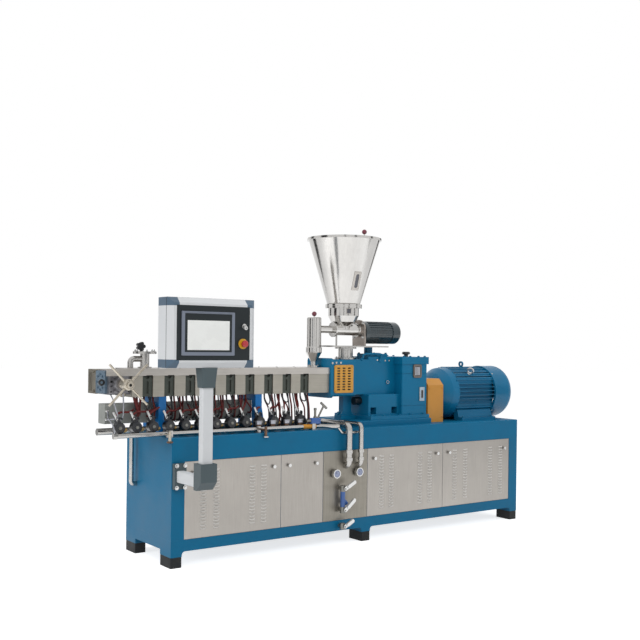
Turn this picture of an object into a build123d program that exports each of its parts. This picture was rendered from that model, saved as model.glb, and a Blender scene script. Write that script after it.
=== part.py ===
from build123d import *
from math import cos, radians, sin, tan
import os

# Twin-screw compounding extruder, modelled at real size in millimetres, +Z up.
# Stations are measured from the front left floor corner of the base:
# x along the machine, y away from the operator, z up from the floor.
# The origin lies on the floor, below the middle of the whole machine.
corner_x = -1332.7
corner_y = -110.0

# Base cabinet
base_length = 2940.0
base_depth = 626.0
deck_top = 763.0
deck_height = 141.0
foot_height = 63.0
foot_width = 72.0
foot_depth = 140.0
leg_drop = 30.0
leg_fillet = 22.0
rail_height = 68.0
left_end_width = 85.0
right_end_width = 88.0
mid_foot_x = 1457.0
panel_widths = [682.0, 329.0, 371.0, 695.0]
panel_thickness = 3.0
panel_recess = 2.0
panel_seam = 3.0
post_width = 44.0
post_depth = 36.0
knob_radius = 11.0
knob_inset = 58.0
knob_drop = 70.0

# Shared axis of barrel, gearbox and motor
axis_y = 313.0
screw_axis_z = 1084.0
screw_diameter = 35.6

# Barrel
barrel_left = -168.0
section_pitch = 4 * screw_diameter
first_joint_x = -66.0
joint_count = 9
section_half = 52.0
joint_flange_half = 78.0
joint_flange_length = 36.0
cover_half_depth = 120.0
cover_gap = 68.0
cover_bottom = 996.0
cover_top = 1122.0
tray_top = 1165.0
tray_lip = 5.0
tray_left = -330.0
tray_strip = 46.0
shield_reach = 112.0
shield_width = 64.0

# Die head
changer_length = 133.0
changer_half = 100.0
changer_back = 68.0
changer_height = 144.0
die_plate_thickness = 15.0
die_plate_half = 67.0
die_boss_radius = 18.0
die_bolt_ring = 47.0
die_bolt_count = 8
die_block_length = 96.0
die_block_depth = 117.0
die_block_half = 73.0

# Gearbox and lantern housing
bed_left = 1440.0
bed_height = 37.0
bed_margin = 84.0
lantern_flange_left = 1277.0
lantern_flange_length = 22.0
feed_block_right = 1499.0
feed_block_half = 130.0
feed_block_bottom = 966.0
feed_block_top = 1220.0
lantern_half = 95.0
lantern_bottom = 975.0
gearbox_left = 1880.0
gearbox_right = 2119.0
gearbox_half = 183.0
gearbox_top = 1240.0
gearbox_cap_height = 52.0
gearbox_cap_lip = 8.0
gearbox_foot_left = 1600.0
gearbox_foot_half = 150.0
parting_groove = 4.0
grille_width = 164.0
grille_height = 192.0
grille_thickness = 6.0
grille_columns = 3
grille_rows = 9
slot_width = 26.0
slot_height = 9.0

# Main motor
motor_axis_z = 968.0
motor_radius = 185.0
motor_fin_radius = 196.0
motor_left = 2290.0
motor_bell_right = 2447.0
motor_fins_right = 2822.0
motor_right = 3028.0
fan_cover_radius = 196.0
fan_cover_round = 62.0
fin_rows = 12
fin_pitch = 28.6
fin_thickness = 4.0
motor_foot_left = 2464.0
motor_foot_length = 355.0
motor_foot_half = 200.0
motor_foot_width = 82.0
motor_foot_thickness = 22.0
eye_x = 2640.0

# Coupling guard
guard_left = 2125.0
guard_right = 2275.0
guard_half = 190.0
guard_top = 1080.0
guard_bevel = 46.0
guard_wall = 3.0

# Feeder
hopper_x = 1485.0
hopper_top_radius = 250.0
hopper_bottom_radius = 116.0
hopper_top = 2064.0
hopper_bottom = 1605.0
hopper_wall = 3.0
hopper_rim = 12.0
collar_radius = 129.0
collar_height = 28.0
bowl_radius = 108.0
bowl_bottom = 1440.0
screw_tube_z = 1427.0
screw_tube_radius = 26.0
feeder_plate_left = 1309.0
feeder_plate_right = 1808.0
feeder_plate_top = 1316.0
feeder_plate_thickness = 10.0
feeder_plate_half = 120.0
throat_radius = 52.0
gearcase_left = 1622.0
gearcase_right = 1636.0
gearcase_half = 70.0
gearcase_top = 1500.0
feeder_motor_z = 1411.0
feeder_motor_radius = 80.0
feeder_motor_right = 1962.0
screw_housing_left = 1400.0
screw_housing_radius = 40.0
post_x = 1425.0
post_radius = 6.0
throat_x = 1507.0
drop_pipe_x = 1232.0
drop_pipe_radius = 50.0
drop_pipe_top = 1508.0
drop_pipe_bottom = 1266.0
drop_cone_bottom = 1204.0
drop_cone_radius = 20.0
drop_flange_radius = 44.0
ball_knob_radius = 17.0

# Operator pendant on its swivelling column
column_x = 43.0
column_y = -325.0
column_width = 68.0
column_depth = 50.0
elbow_width = 102.0
elbow_depth = 84.0
elbow_bottom = 500.0
elbow_top = 650.0
arm_z = 541.0
column_top = 1072.0
pendant_width = 550.0
pendant_height = 384.0
pendant_depth = 130.0
pendant_bottom = 1184.0
corner_length = 62.0
screen_width = 330.0
screen_height = 241.0
swivel_gap = 0.3
pendant_x = 50.0
pendant_offset = 3.0
pendant_bevel = 30.0
corner_height = 46.0
front_width = pendant_width - 90.0
front_height = pendant_height - 84.0
screen_x = pendant_x - 37.0
screen_z = 1373.0
screen_thickness = 8.0
screen_border = 19.0
screen_rise = 7.0
stop_x = pendant_x + pendant_width / 2 - 90.0
stop_z = 1319.0
stop_collar_radius = 29.0
key_x = pendant_x + pendant_width / 2 - 85.0
key_z = 1418.0

# Services
manifold_y = 60.0
manifold_radius = 14.0
manifold_left = -330.0
manifold_right = 1108.0
return_y = 285.0
return_radius = 21.0
return_left = -345.0
valve_pitch = 106.0
first_valve_x = -278.0
valve_count = 13
coil_radius = 32.0
coil_length = 44.0
tube_radius = 6.0
wireway_left = -308.0
wireway_right = 700.0
wireway_depth = 96.0
wireway_height = 118.0
pipe_lift = 8.0
thin_pipe_y = -10.0
thin_pipe_z = 740.0
thin_pipe_radius = 8.0
clamp_x = [14.0, 623.0, 1047.0]
inner_pipe_x = 1273.0
outer_pipe_x = 1374.0
outer_pipe_radius = 16.0
down_pipe_y = -42.0
down_pipe_z = 522.0
cross_pipe_y = 150.0
end_pipe_x = -35.0
end_pipe_y = 480.0
end_pipe_z = 440.0
end_pipe_radius = 14.0
flow_gauge_z = 474.0
panel_valve_x = 1232.0
panel_valve_y = -34.0
valve_high_z = 376.0
valve_mid_z = 235.0
valve_low_z = 128.0
handle_x = -241.0
handle_arm = 165.0
handle_rod = 7.0
handle_y = 92.0
handle_z = 1075.0
stand_x = [33.0, 716.0]

# Derived sizes
leg_bottom = foot_height
rail_bottom = foot_height + leg_drop
rail_top = rail_bottom + rail_height
beam_bottom = deck_top - deck_height
bed_top = deck_top + bed_height
shell_gap = 0.3


def at(x, y, z):
    """Global position of a machine station."""
    return Vector(corner_x + x, corner_y + y, z)


def level(z):
    """Horizontal sketch plane at height z."""
    return Plane(origin=at(0, 0, z))


def facing(y, x=0.0, z=0.0):
    """Upright sketch plane facing the operator: sketch x is along, sketch y is up."""
    return Plane(origin=at(x, y, z), x_dir=(1, 0, 0), z_dir=(0, -1, 0))


def across(x, y=0.0, z=0.0):
    """Upright sketch plane across the machine: sketch x is depth, sketch y is up."""
    return Plane(origin=at(x, y, z), x_dir=(0, 1, 0), z_dir=(1, 0, 0))


def block(x_span, y_span, z_span):
    """Solid box between two stations on each axis, added to the current part."""
    size = [high - low for low, high in (x_span, y_span, z_span)]
    middle = [(high + low) / 2 for low, high in (x_span, y_span, z_span)]
    with Locations(at(*middle)):
        return Box(*size)


def save(part, name):
    """Label a finished piece and write it as its own file."""
    part.part.label = name
    export_step(part.part, f"parts/{name}.step")


os.makedirs("parts", exist_ok=True)

# Base cabinet

with BuildPart() as base_deck:
    block((0, base_length), (0, base_depth), (beam_bottom, deck_top))
    chamfer(base_deck.faces().sort_by(Axis.Z)[-1].edges(), 3)
save(base_deck, "base_deck")

foot_x = [0.0, mid_foot_x - foot_width / 2, base_length - foot_width]
foot_y = [0.0, base_depth - foot_depth]

with BuildPart() as base_plinth:
    block((0, base_length), (0, base_depth), (rail_bottom, rail_top))
    for x in foot_x:
        for y in foot_y:
            block((x, x + foot_width), (y, y + foot_depth), (leg_bottom, rail_bottom))
    inner_corners = [
        edge
        for edge in base_plinth.edges().filter_by(Axis.Y)
        if abs(edge.center().Z - rail_bottom) < 0.1
        and -base_length / 2 + 1 < edge.center().X - corner_x - base_length / 2 < base_length / 2 - 1
        and edge.length < foot_depth + 1
    ]
    fillet(inner_corners, leg_fillet)
save(base_plinth, "base_plinth")

with BuildPart() as machine_feet:
    for x in foot_x:
        for y in foot_y:
            block((x, x + foot_width), (y, y + foot_depth), (0, leg_bottom))
    chamfer(machine_feet.edges().filter_by(Axis.Z), 4)
save(machine_feet, "machine_feet")

panel_left = left_end_width
panel_right = base_length - right_end_width
seams = [panel_left]
for width in panel_widths:
    seams.append(seams[-1] + width)
seams.append(panel_right)
panel_back = panel_recess + panel_thickness

with BuildPart() as base_posts:
    for low, high, inner in (
        (0, panel_left, panel_left + post_width / 2),
        (panel_right, base_length, panel_right - post_width / 2),
    ):
        block((low, high), (0, base_depth), (rail_top, beam_bottom))
        step = sorted((inner, low if inner < low else high))
        block(step, (panel_back, base_depth - panel_back), (rail_top, beam_bottom))
    for x in seams[1:-1]:
        for y in (panel_back, base_depth - panel_back - post_depth):
            block((x - post_width / 2, x + post_width / 2), (y, y + post_depth), (rail_top, beam_bottom))
save(base_posts, "base_posts")


def panel_row(front):
    """One row of cover sheets whose outer faces stand behind the cabinet's face."""
    for low, high in zip(seams, seams[1:]):
        half_seam = panel_seam / 2
        block(
            (low + half_seam, high - half_seam),
            (front, front + panel_thickness),
            (rail_top + half_seam, beam_bottom - half_seam),
        )


with BuildPart() as cover_panels:
    panel_row(panel_recess)
    panel_row(base_depth - panel_recess - panel_thickness)
save(cover_panels, "cover_panels")

knob_z = beam_bottom - knob_drop
knob_head = 8.0
knob_neck = 10.0
valve_bay = 2

with BuildPart() as panel_knobs:
    for bay, (low, high) in enumerate(zip(seams, seams[1:])):
        for x in (low + knob_inset, high - knob_inset):
            for y, outward in ((panel_recess, -1), (base_depth - panel_recess, 1)):
                if bay == valve_bay and outward < 0:
                    continue
                plane = Plane(origin=at(x, y, knob_z), x_dir=(1, 0, 0), z_dir=(0, outward, 0))
                with BuildSketch(plane):
                    Circle(knob_radius / 2)
                extrude(amount=knob_neck)
                with BuildSketch(plane.offset(knob_neck)):
                    Circle(knob_radius)
                extrude(amount=knob_head)
save(panel_knobs, "panel_knobs")

# Gearbox, lantern housing and their bed

bed_right = gearbox_right + 3.0

with BuildPart() as gearbox_bed:
    block((bed_left, bed_right), (bed_margin, base_depth - bed_margin), (deck_top, bed_top))
    chamfer(gearbox_bed.faces().sort_by(Axis.Z)[-1].edges(), 4)
save(gearbox_bed, "gearbox_bed")

foot_flange = 26.0
pocket_width = 52.0
pocket_height = 48.0
pocket_depth = 55.0
pocket_z = 860.0
gearbox_cap_bottom = gearbox_top - gearbox_cap_height
lantern_top = gearbox_top
lantern_step_x = 1640.0

with BuildPart() as gearbox_housing:
    block(
        (gearbox_left, gearbox_right),
        (axis_y - gearbox_half, axis_y + gearbox_half),
        (bed_top, gearbox_cap_bottom),
    )
    fillet(gearbox_housing.edges().filter_by(Axis.Z), 10)
    for z in (gearbox_cap_bottom - 70, gearbox_cap_bottom - 300):
        with BuildSketch(level(z)):
            with Locations(((gearbox_left + gearbox_right) / 2, axis_y)):
                Rectangle(gearbox_right - gearbox_left + 2, 2 * gearbox_half + 2)
                offset(amount=-parting_groove, mode=Mode.SUBTRACT)
        extrude(amount=parting_groove, mode=Mode.SUBTRACT)
    block(
        (gearbox_left - gearbox_cap_lip, gearbox_right + gearbox_cap_lip),
        (axis_y - gearbox_half - gearbox_cap_lip, axis_y + gearbox_half + gearbox_cap_lip),
        (gearbox_cap_bottom, gearbox_top),
    )
    block(
        (gearbox_foot_left, gearbox_left),
        (axis_y - gearbox_foot_half, axis_y + gearbox_foot_half),
        (bed_top, lantern_bottom),
    )
    block(
        (gearbox_foot_left - foot_flange, gearbox_right),
        (axis_y - gearbox_half - foot_flange, axis_y + gearbox_half + foot_flange),
        (bed_top, bed_top + foot_flange),
    )
    for x in (gearbox_foot_left + 44, gearbox_left - 44):
        for side in (-1, 1):
            face_y = axis_y + side * (gearbox_foot_half - pocket_depth / 2)
            with Locations(at(x, face_y, pocket_z)):
                Box(pocket_width, pocket_depth, pocket_height, mode=Mode.SUBTRACT)
save(gearbox_housing, "gearbox_housing")

grille_x = lantern_flange_left + lantern_flange_length + grille_width / 2 + 12
grille_z = (feed_block_bottom + feed_block_top) / 2 - 6
window_depth = 70.0
flange_rim = 9.0
plug_radius = 14.0
plug_x = 1812.0
plug_z = 1058.0

with BuildPart() as lantern_housing:
    feed_left = lantern_flange_left + lantern_flange_length
    block(
        (feed_left, feed_block_right),
        (axis_y - feed_block_half, axis_y + feed_block_half),
        (feed_block_bottom, feed_block_top),
    )
    fillet(lantern_housing.edges().filter_by(Axis.X), 18)
    with BuildSketch(across(lantern_flange_left, axis_y, (feed_block_bottom + feed_block_top) / 2)):
        height = feed_block_top - feed_block_bottom + 2 * flange_rim
        RectangleRounded(2 * (feed_block_half + flange_rim), height, 24)
    extrude(amount=lantern_flange_length)
    for low, high, top in (
        (feed_block_right, gearbox_left, gearbox_cap_bottom),
        (feed_block_right, lantern_step_x, feed_block_top),
        (lantern_step_x, gearbox_left - gearbox_cap_lip, lantern_top),
    ):
        block((low, high), (axis_y - lantern_half, axis_y + lantern_half), (lantern_bottom, top))
    for side in (-1, 1):
        with Locations(at(grille_x, axis_y + side * (feed_block_half - window_depth / 2), grille_z)):
            Box(grille_width - 24, window_depth, grille_height - 24, mode=Mode.SUBTRACT)
    with BuildSketch(facing(axis_y - lantern_half, plug_x, plug_z)):
        RegularPolygon(plug_radius, 6)
    extrude(amount=9)
save(lantern_housing, "lantern_housing")

leg_x = 1508.0
leg_width = 72.0
leg_half = 25.0
leg_flange = 28.0
rib_thickness = 14.0

with BuildPart() as lantern_leg:
    leg_right = leg_x + leg_width / 2
    leg_span = (axis_y - leg_half, axis_y + leg_half)
    block((leg_x - leg_width / 2, leg_right), leg_span, (bed_top, feed_block_bottom))
    block((feed_block_right, leg_right), leg_span, (feed_block_bottom, lantern_bottom))
    block(
        (leg_x - leg_width / 2 - leg_flange, leg_x + leg_width / 2 + leg_flange),
        (axis_y - leg_half - leg_flange / 2, axis_y + leg_half + leg_flange / 2),
        (bed_top, bed_top + foot_flange),
    )
    for y in (axis_y - leg_half, axis_y + leg_half - rib_thickness):
        for side in (-1, 1):
            with BuildSketch(facing(y + rib_thickness, leg_x + side * leg_width / 2, bed_top + foot_flange)):
                with BuildLine():
                    Polyline((0, 0), (side * leg_flange * 0.8, 0), (0, leg_flange), close=True)
                make_face()
            extrude(amount=rib_thickness)
save(lantern_leg, "lantern_leg")

pump_radius = 28.0
pump_z = 927.0
pump_y = 262.0

with BuildPart() as oil_pump:
    with BuildSketch(across(leg_x + leg_width / 2, pump_y, pump_z)):
        Circle(pump_radius)
    extrude(amount=gearbox_foot_left - leg_x - leg_width / 2)
save(oil_pump, "oil_pump")


def grille(side):
    """Slotted cover plate over one window of the lantern housing."""
    face_y = axis_y + side * feed_block_half
    plane = Plane(origin=at(grille_x, face_y, grille_z), x_dir=(1, 0, 0), z_dir=(0, side, 0))
    with BuildSketch(plane) as cover:
        RectangleRounded(grille_width, grille_height, 12)
        with GridLocations(grille_width / 3.6, grille_height / 10.5, grille_columns, grille_rows):
            RectangleRounded(slot_width, slot_height, 3, mode=Mode.SUBTRACT)
    extrude(cover.sketch, amount=grille_thickness)


with BuildPart() as lantern_grilles:
    grille(-1)
    grille(1)
save(lantern_grilles, "lantern_grilles")

cap_x = 2073.0

with BuildPart() as filler_cap:
    with BuildSketch(facing(axis_y, cap_x, gearbox_top)):
        with BuildLine():
            Polyline((0, 0), (16, 0), (16, 14), (30, 18), (30, 30), (24, 36), (0, 36), close=True)
        make_face()
    revolve(axis=Axis(at(cap_x, axis_y, gearbox_top), (0, 0, 1)))
save(filler_cap, "filler_cap")

sight_x = 2019.0
sight_z = 1138.0
sight_width = 78.0
sight_height = 96.0
gauge_x = 2066.0
gauge_z = 972.0
gauge_width = 48.0
gauge_height = 100.0
gearbox_front = axis_y - gearbox_half

with BuildPart() as gearbox_gauges:
    with BuildSketch(facing(gearbox_front, sight_x, sight_z)):
        RectangleRounded(sight_width, sight_height, 14)
    extrude(amount=10)
    with BuildSketch(facing(gearbox_front - 10, sight_x, sight_z)):
        RectangleRounded(sight_width - 26, sight_height - 26, 8)
    extrude(amount=-4, mode=Mode.SUBTRACT)
    with BuildSketch(facing(gearbox_front, gauge_x, gauge_z)):
        Rectangle(gauge_width, gauge_height)
    extrude(amount=5)
    with BuildSketch(facing(gearbox_front - 5, gauge_x, gauge_z)):
        SlotOverall(gauge_height * 0.6, 16, rotation=90)
    extrude(amount=6)
save(gearbox_gauges, "gearbox_gauges")

hatch_left = 1666.0
hatch_right = 1833.0
hatch_height = 20.0
support_x = 1712.0
support_radius = 30.0
feeder_plate_bottom = feeder_plate_top - feeder_plate_thickness

with BuildPart() as top_hatch:
    block((hatch_left, hatch_right), (axis_y - 80, axis_y + 80), (lantern_top, lantern_top + hatch_height))
    fillet(top_hatch.edges().filter_by(Axis.Z), 14)
    with BuildSketch(level(lantern_top + hatch_height)):
        with Locations((support_x, axis_y)):
            Circle(support_radius)
    extrude(amount=feeder_plate_bottom - lantern_top - hatch_height)
save(top_hatch, "top_hatch")

with BuildPart() as coupling_guard:
    with BuildSketch(across(guard_left, axis_y, deck_top)) as guard_outline:
        height = guard_top - deck_top
        with BuildLine():
            Polyline(
                (-guard_half, 0),
                (guard_half, 0),
                (guard_half, height - guard_bevel),
                (guard_half - guard_bevel, height),
                (guard_bevel - guard_half, height),
                (-guard_half, height - guard_bevel),
                close=True,
            )
        make_face()
    extrude(amount=guard_right - guard_left)
    shell_faces = [coupling_guard.faces().sort_by(Axis.Z)[0]]
    offset(amount=-guard_wall, openings=shell_faces)
save(coupling_guard, "coupling_guard")

# Main motor

with BuildPart() as drive_motor:
    with BuildSketch(facing(axis_y, 0, motor_axis_z)):
        with BuildLine():
            Polyline(
                (motor_left, 0),
                (motor_left, 112),
                (motor_left + 14, 128),
                (motor_left + 38, 150),
                (motor_bell_right - 60, motor_radius),
                (motor_bell_right, motor_fin_radius - 4),
                (motor_bell_right, motor_radius - 22),
                (motor_fins_right, motor_radius - 22),
                (motor_fins_right, 0),
                close=True,
            )
        make_face()
    revolve(axis=Axis(at(0, axis_y, motor_axis_z), (1, 0, 0)))
    with BuildSketch(across(motor_bell_right - 6, axis_y, motor_axis_z)):
        with GridLocations(0, fin_pitch, 1, fin_rows):
            Rectangle(2.2 * motor_radius, fin_thickness)
        with GridLocations(fin_pitch, 0, fin_rows, 1):
            Rectangle(fin_thickness, 2.2 * motor_radius)
        Circle(motor_fin_radius - 1, mode=Mode.INTERSECT)
        Circle(motor_radius - 24, mode=Mode.SUBTRACT)
    extrude(amount=motor_fins_right - motor_bell_right + 6)
    for side in (-1, 1):
        inner = motor_foot_half - motor_foot_width
        with BuildSketch(across(motor_foot_left, axis_y, deck_top)):
            with BuildLine():
                Polyline(
                    (side * motor_foot_half, 0),
                    (side * motor_foot_half, motor_foot_thickness),
                    (side * (motor_foot_half - 38), motor_foot_thickness),
                    (side * (motor_foot_half - 56), motor_foot_thickness + 58),
                    (side * (inner - 18), motor_foot_thickness + 78),
                    (side * (inner - 18), motor_foot_thickness + 48),
                    (side * inner, 0),
                    close=True,
                )
            make_face()
        extrude(amount=motor_foot_length)
    with Locations(at(eye_x, axis_y, motor_axis_z + motor_radius)):
        Cylinder(13, 34)
    with BuildSketch(across(eye_x, axis_y, motor_axis_z + motor_radius + 30)):
        with Locations((0, 0)):
            Circle(22)
            Circle(12, mode=Mode.SUBTRACT)
    extrude(amount=6, both=True)
save(drive_motor, "drive_motor")

sheet_wall = 3.0
vent_slots = 12
vent_length = 70.0
vent_width = 14.0

with BuildPart() as motor_fan_cover:
    outer = fan_cover_radius + 4
    inner = outer - sheet_wall
    bend = fan_cover_round
    start = motor_fins_right
    seat = motor_fin_radius - 16
    with BuildSketch(facing(axis_y, 0, motor_axis_z)):
        with BuildLine():
            Polyline((start, seat), (start, outer), (motor_right - bend, outer))
            RadiusArc((motor_right - bend, outer), (motor_right, outer - bend), bend)
            Polyline(
                (motor_right, outer - bend),
                (motor_right, 0),
                (motor_right - sheet_wall, 0),
                (motor_right - sheet_wall, outer - bend),
            )
            RadiusArc((motor_right - sheet_wall, outer - bend), (motor_right - bend, inner), sheet_wall - bend)
            Polyline(
                (motor_right - bend, inner),
                (start + sheet_wall, inner),
                (start + sheet_wall, seat),
                (start, seat),
            )
        make_face()
    revolve(axis=Axis(at(0, axis_y, motor_axis_z), (1, 0, 0)))
    with BuildSketch(across(motor_right - 10, axis_y, motor_axis_z)):
        with PolarLocations(0.5 * fan_cover_radius, vent_slots, start_angle=15):
            SlotOverall(vent_length, vent_width)
    extrude(amount=20, mode=Mode.SUBTRACT)
save(motor_fan_cover, "motor_fan_cover")

box_left = 2500.0
box_length = 160.0
box_depth = 78.0
box_half_height = 70.0

with BuildPart() as terminal_box:
    back = axis_y + motor_fin_radius
    block(
        (box_left, box_left + box_length),
        (back - 0.5, back + box_depth),
        (motor_axis_z - box_half_height, motor_axis_z + box_half_height),
    )
    fillet(terminal_box.edges().filter_by(Axis.Y), 10)
save(terminal_box, "terminal_box")

# Feeder


def turned(points, x, y):
    """Revolve a closed outline of (radius, height) points about an upright axis."""
    with BuildSketch(facing(y, x)) as outline:
        with BuildLine():
            Polyline(*points, close=True)
        make_face()
    revolve(outline.sketch, axis=Axis(at(x, y, 0), (0, 0, 1)))


throat_inner = throat_radius - 6
throat_outer = throat_radius + 24

with BuildPart() as feeder_throat:
    turned(
        [
            (throat_inner, feed_block_top),
            (throat_outer, feed_block_top),
            (throat_outer, feed_block_top + 12),
            (throat_radius, feed_block_top + 12),
            (throat_radius, feeder_plate_bottom - 12),
            (throat_outer, feeder_plate_bottom - 12),
            (throat_outer, feeder_plate_bottom),
            (throat_inner, feeder_plate_bottom),
        ],
        throat_x,
        axis_y,
    )
save(feeder_throat, "feeder_throat")

with BuildPart() as feeder_plate:
    block(
        (feeder_plate_left, feeder_plate_right),
        (axis_y - feeder_plate_half, axis_y + feeder_plate_half),
        (feeder_plate_bottom, feeder_plate_top),
    )
    fillet(feeder_plate.edges().filter_by(Axis.Z), 12)
    post_height = screw_tube_z - screw_housing_radius - feeder_plate_top
    with Locations(at(post_x, axis_y, feeder_plate_top)):
        Cylinder(post_radius, post_height, align=(Align.CENTER, Align.CENTER, Align.MIN))
save(feeder_plate, "feeder_plate")

bowl_neck = 46.0
bowl_wall = 4.0
collar_bottom = hopper_bottom - collar_height

with BuildPart() as feeder_body:
    turned(
        [
            (0, screw_tube_z),
            (bowl_neck, screw_tube_z),
            (bowl_neck, bowl_bottom),
            (bowl_radius - 62, bowl_bottom + 12),
            (bowl_radius - 20, bowl_bottom + 42),
            (bowl_radius, bowl_bottom + 84),
            (bowl_radius, collar_bottom),
            (collar_radius, collar_bottom),
            (collar_radius, hopper_bottom),
            (bowl_radius - bowl_wall, hopper_bottom),
            (bowl_radius - bowl_wall, bowl_bottom + 86),
            (bowl_radius - 24, bowl_bottom + 48),
            (bowl_neck, bowl_bottom + 14),
            (bowl_neck - bowl_wall, bowl_bottom + 6),
            (0, bowl_bottom + 6),
        ],
        hopper_x,
        axis_y,
    )
    tube_left = drop_pipe_x + drop_pipe_radius
    for left, right, radius in (
        (tube_left - drop_pipe_radius / 2, gearcase_left, screw_tube_radius),
        (screw_housing_left, gearcase_left, screw_housing_radius),
        (screw_housing_left - 10, screw_housing_left, screw_housing_radius + 12),
        (gearcase_left - 24, gearcase_left, screw_housing_radius + 9),
    ):
        with BuildSketch(across(left, axis_y, screw_tube_z)):
            Circle(radius)
        extrude(amount=right - left)
    with Locations(at(drop_pipe_x, axis_y, screw_tube_z)):
        Cylinder(drop_pipe_radius, 4 * screw_tube_radius, mode=Mode.SUBTRACT)
save(feeder_body, "feeder_body")

sight_slot_x = hopper_x - 14.0
sight_slot_z = 1762.0
sight_slot_length = 96.0
sight_slot_width = 28.0

with BuildPart() as hopper:
    turned(
        [
            (hopper_bottom_radius - hopper_wall, hopper_bottom),
            (hopper_bottom_radius, hopper_bottom),
            (hopper_top_radius, hopper_top - hopper_rim),
            (hopper_top_radius + hopper_rim, hopper_top - hopper_rim),
            (hopper_top_radius + hopper_rim, hopper_top),
            (hopper_top_radius - hopper_wall, hopper_top),
        ],
        hopper_x,
        axis_y,
    )
    with BuildSketch(facing(axis_y - hopper_top_radius, sight_slot_x, sight_slot_z)):
        SlotOverall(sight_slot_length, sight_slot_width, rotation=90)
    extrude(amount=-hopper_top_radius, mode=Mode.SUBTRACT)
save(hopper, "hopper")

lid_thickness = 4.0
lid_knob_y = 88.0
knob_stem = 12.0

with BuildPart() as hopper_lid:
    with BuildSketch(level(hopper_top)):
        with Locations((hopper_x, axis_y)):
            Circle(hopper_top_radius + hopper_rim - 2)
    extrude(amount=lid_thickness)
    with Locations(at(hopper_x, lid_knob_y, hopper_top + lid_thickness)):
        Cylinder(4, knob_stem, align=(Align.CENTER, Align.CENTER, Align.MIN))
save(hopper_lid, "hopper_lid")

drop_collar_radius = 55.0
drop_collar_height = 34.0

with BuildPart() as drop_pipe:
    turned(
        [
            (0, tray_top),
            (drop_flange_radius, tray_top),
            (drop_flange_radius, tray_top + 12),
            (drop_cone_radius, tray_top + 12),
            (drop_cone_radius, drop_cone_bottom),
            (drop_collar_radius, drop_pipe_bottom),
            (drop_collar_radius, drop_pipe_bottom + drop_collar_height),
            (drop_pipe_radius, drop_pipe_bottom + drop_collar_height + 6),
            (drop_pipe_radius, drop_pipe_top - 6),
            (drop_pipe_radius - 5, drop_pipe_top),
            (4, drop_pipe_top),
            (4, drop_pipe_top + 8),
            (0, drop_pipe_top + 8),
        ],
        drop_pipe_x,
        axis_y,
    )
save(drop_pipe, "drop_pipe")

with BuildPart() as ball_knobs:
    for x, y, z in (
        (hopper_x, lid_knob_y, hopper_top + lid_thickness + knob_stem),
        (drop_pipe_x, axis_y, drop_pipe_top + 8),
    ):
        with Locations(at(x, y, z + ball_knob_radius - 1)):
            Sphere(ball_knob_radius)
        with Locations(at(x, y, z - ball_knob_radius)):
            Box(3 * ball_knob_radius, 3 * ball_knob_radius, 2 * ball_knob_radius, mode=Mode.SUBTRACT)
save(ball_knobs, "ball_knobs")

with BuildPart() as feeder_gearcase:
    with BuildSketch(across(gearcase_left, axis_y, gearcase_top - gearcase_half)):
        Circle(gearcase_half)
        height = gearcase_top - gearcase_half - feeder_plate_top
        with Locations((0, -height / 2)):
            Rectangle(2 * gearcase_half, height)
    extrude(amount=gearcase_right - gearcase_left)
    fillet(feeder_gearcase.faces().sort_by(Axis.X)[-1].edges().filter_by(GeomType.CIRCLE), 3)
save(feeder_gearcase, "feeder_gearcase")

feeder_rib_count = 24
feeder_rib_height = 6.0

with BuildPart() as feeder_motor:
    with BuildSketch(across(gearcase_right, axis_y, feeder_motor_z)):
        Circle(feeder_motor_radius - feeder_rib_height)
    extrude(amount=feeder_motor_right - gearcase_right - 12)
    with BuildSketch(across(gearcase_right, axis_y, feeder_motor_z)):
        Circle(feeder_motor_radius)
    extrude(amount=34)
    with BuildSketch(across(feeder_motor_right - 78, axis_y, feeder_motor_z)):
        Circle(feeder_motor_radius)
    extrude(amount=78)
    fillet(feeder_motor.faces().sort_by(Axis.X)[-1].edges(), 22)
    with BuildSketch(across(gearcase_right + 34, axis_y, feeder_motor_z)):
        with PolarLocations(feeder_motor_radius - feeder_rib_height, feeder_rib_count):
            Rectangle(2 * feeder_rib_height, 4)
    extrude(amount=feeder_motor_right - gearcase_right - 78 - 34)
save(feeder_motor, "feeder_motor")

# Barrel, covers, tray and die head

joints = [first_joint_x + section_pitch * number for number in range(joint_count)]
barrel_right = lantern_flange_left
tray_wall = 3.0
bolt_inset = 16.0
bolt_radius = 8.0

shield_top = 1118.0
shield_bottom = 998.0
notch_radius = 14.0
shield_groove = 16.0


def shield(x, side):
    """Joint shield between two covers, with a half-round notch on top and a groove down its face."""
    inner = axis_y + side * (joint_flange_half - 1)
    outer = axis_y + side * shield_reach
    half = shield_width / 2
    block((x - half, x + half), sorted((inner, outer)), (shield_bottom, shield_top))
    with BuildSketch(facing(outer - 10, x, shield_top)) as notch:
        Circle(notch_radius)
    extrude(notch.sketch, amount=-20, mode=Mode.SUBTRACT)
    with Locations(at(x, outer, (shield_bottom + shield_top) / 2 - 6)):
        Box(shield_groove, 16, 74, mode=Mode.SUBTRACT)


with BuildPart() as barrel:
    with BuildSketch(across(barrel_left, axis_y, screw_axis_z)):
        RectangleRounded(2 * section_half, 2 * section_half, 10)
    extrude(amount=barrel_right - barrel_left)
    for x in joints:
        with BuildSketch(across(x - joint_flange_length / 2, axis_y, screw_axis_z)):
            RectangleRounded(2 * joint_flange_half, 2 * joint_flange_half, 8)
        extrude(amount=joint_flange_length)
        with BuildSketch(across(x - joint_flange_length / 2 - 8, axis_y, screw_axis_z)):
            reach = 2 * (joint_flange_half - bolt_inset)
            with GridLocations(reach, reach, 2, 2):
                Circle(bolt_radius)
        extrude(amount=joint_flange_length + 16)
        for side in (-1, 1):
            shield(x, side)
save(barrel, "barrel")

cover_spans = []
left_edge = barrel_left
for x in joints:
    cover_spans.append((left_edge, x - cover_gap / 2))
    left_edge = x + cover_gap / 2
cover_spans.append((left_edge, barrel_right))

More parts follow.
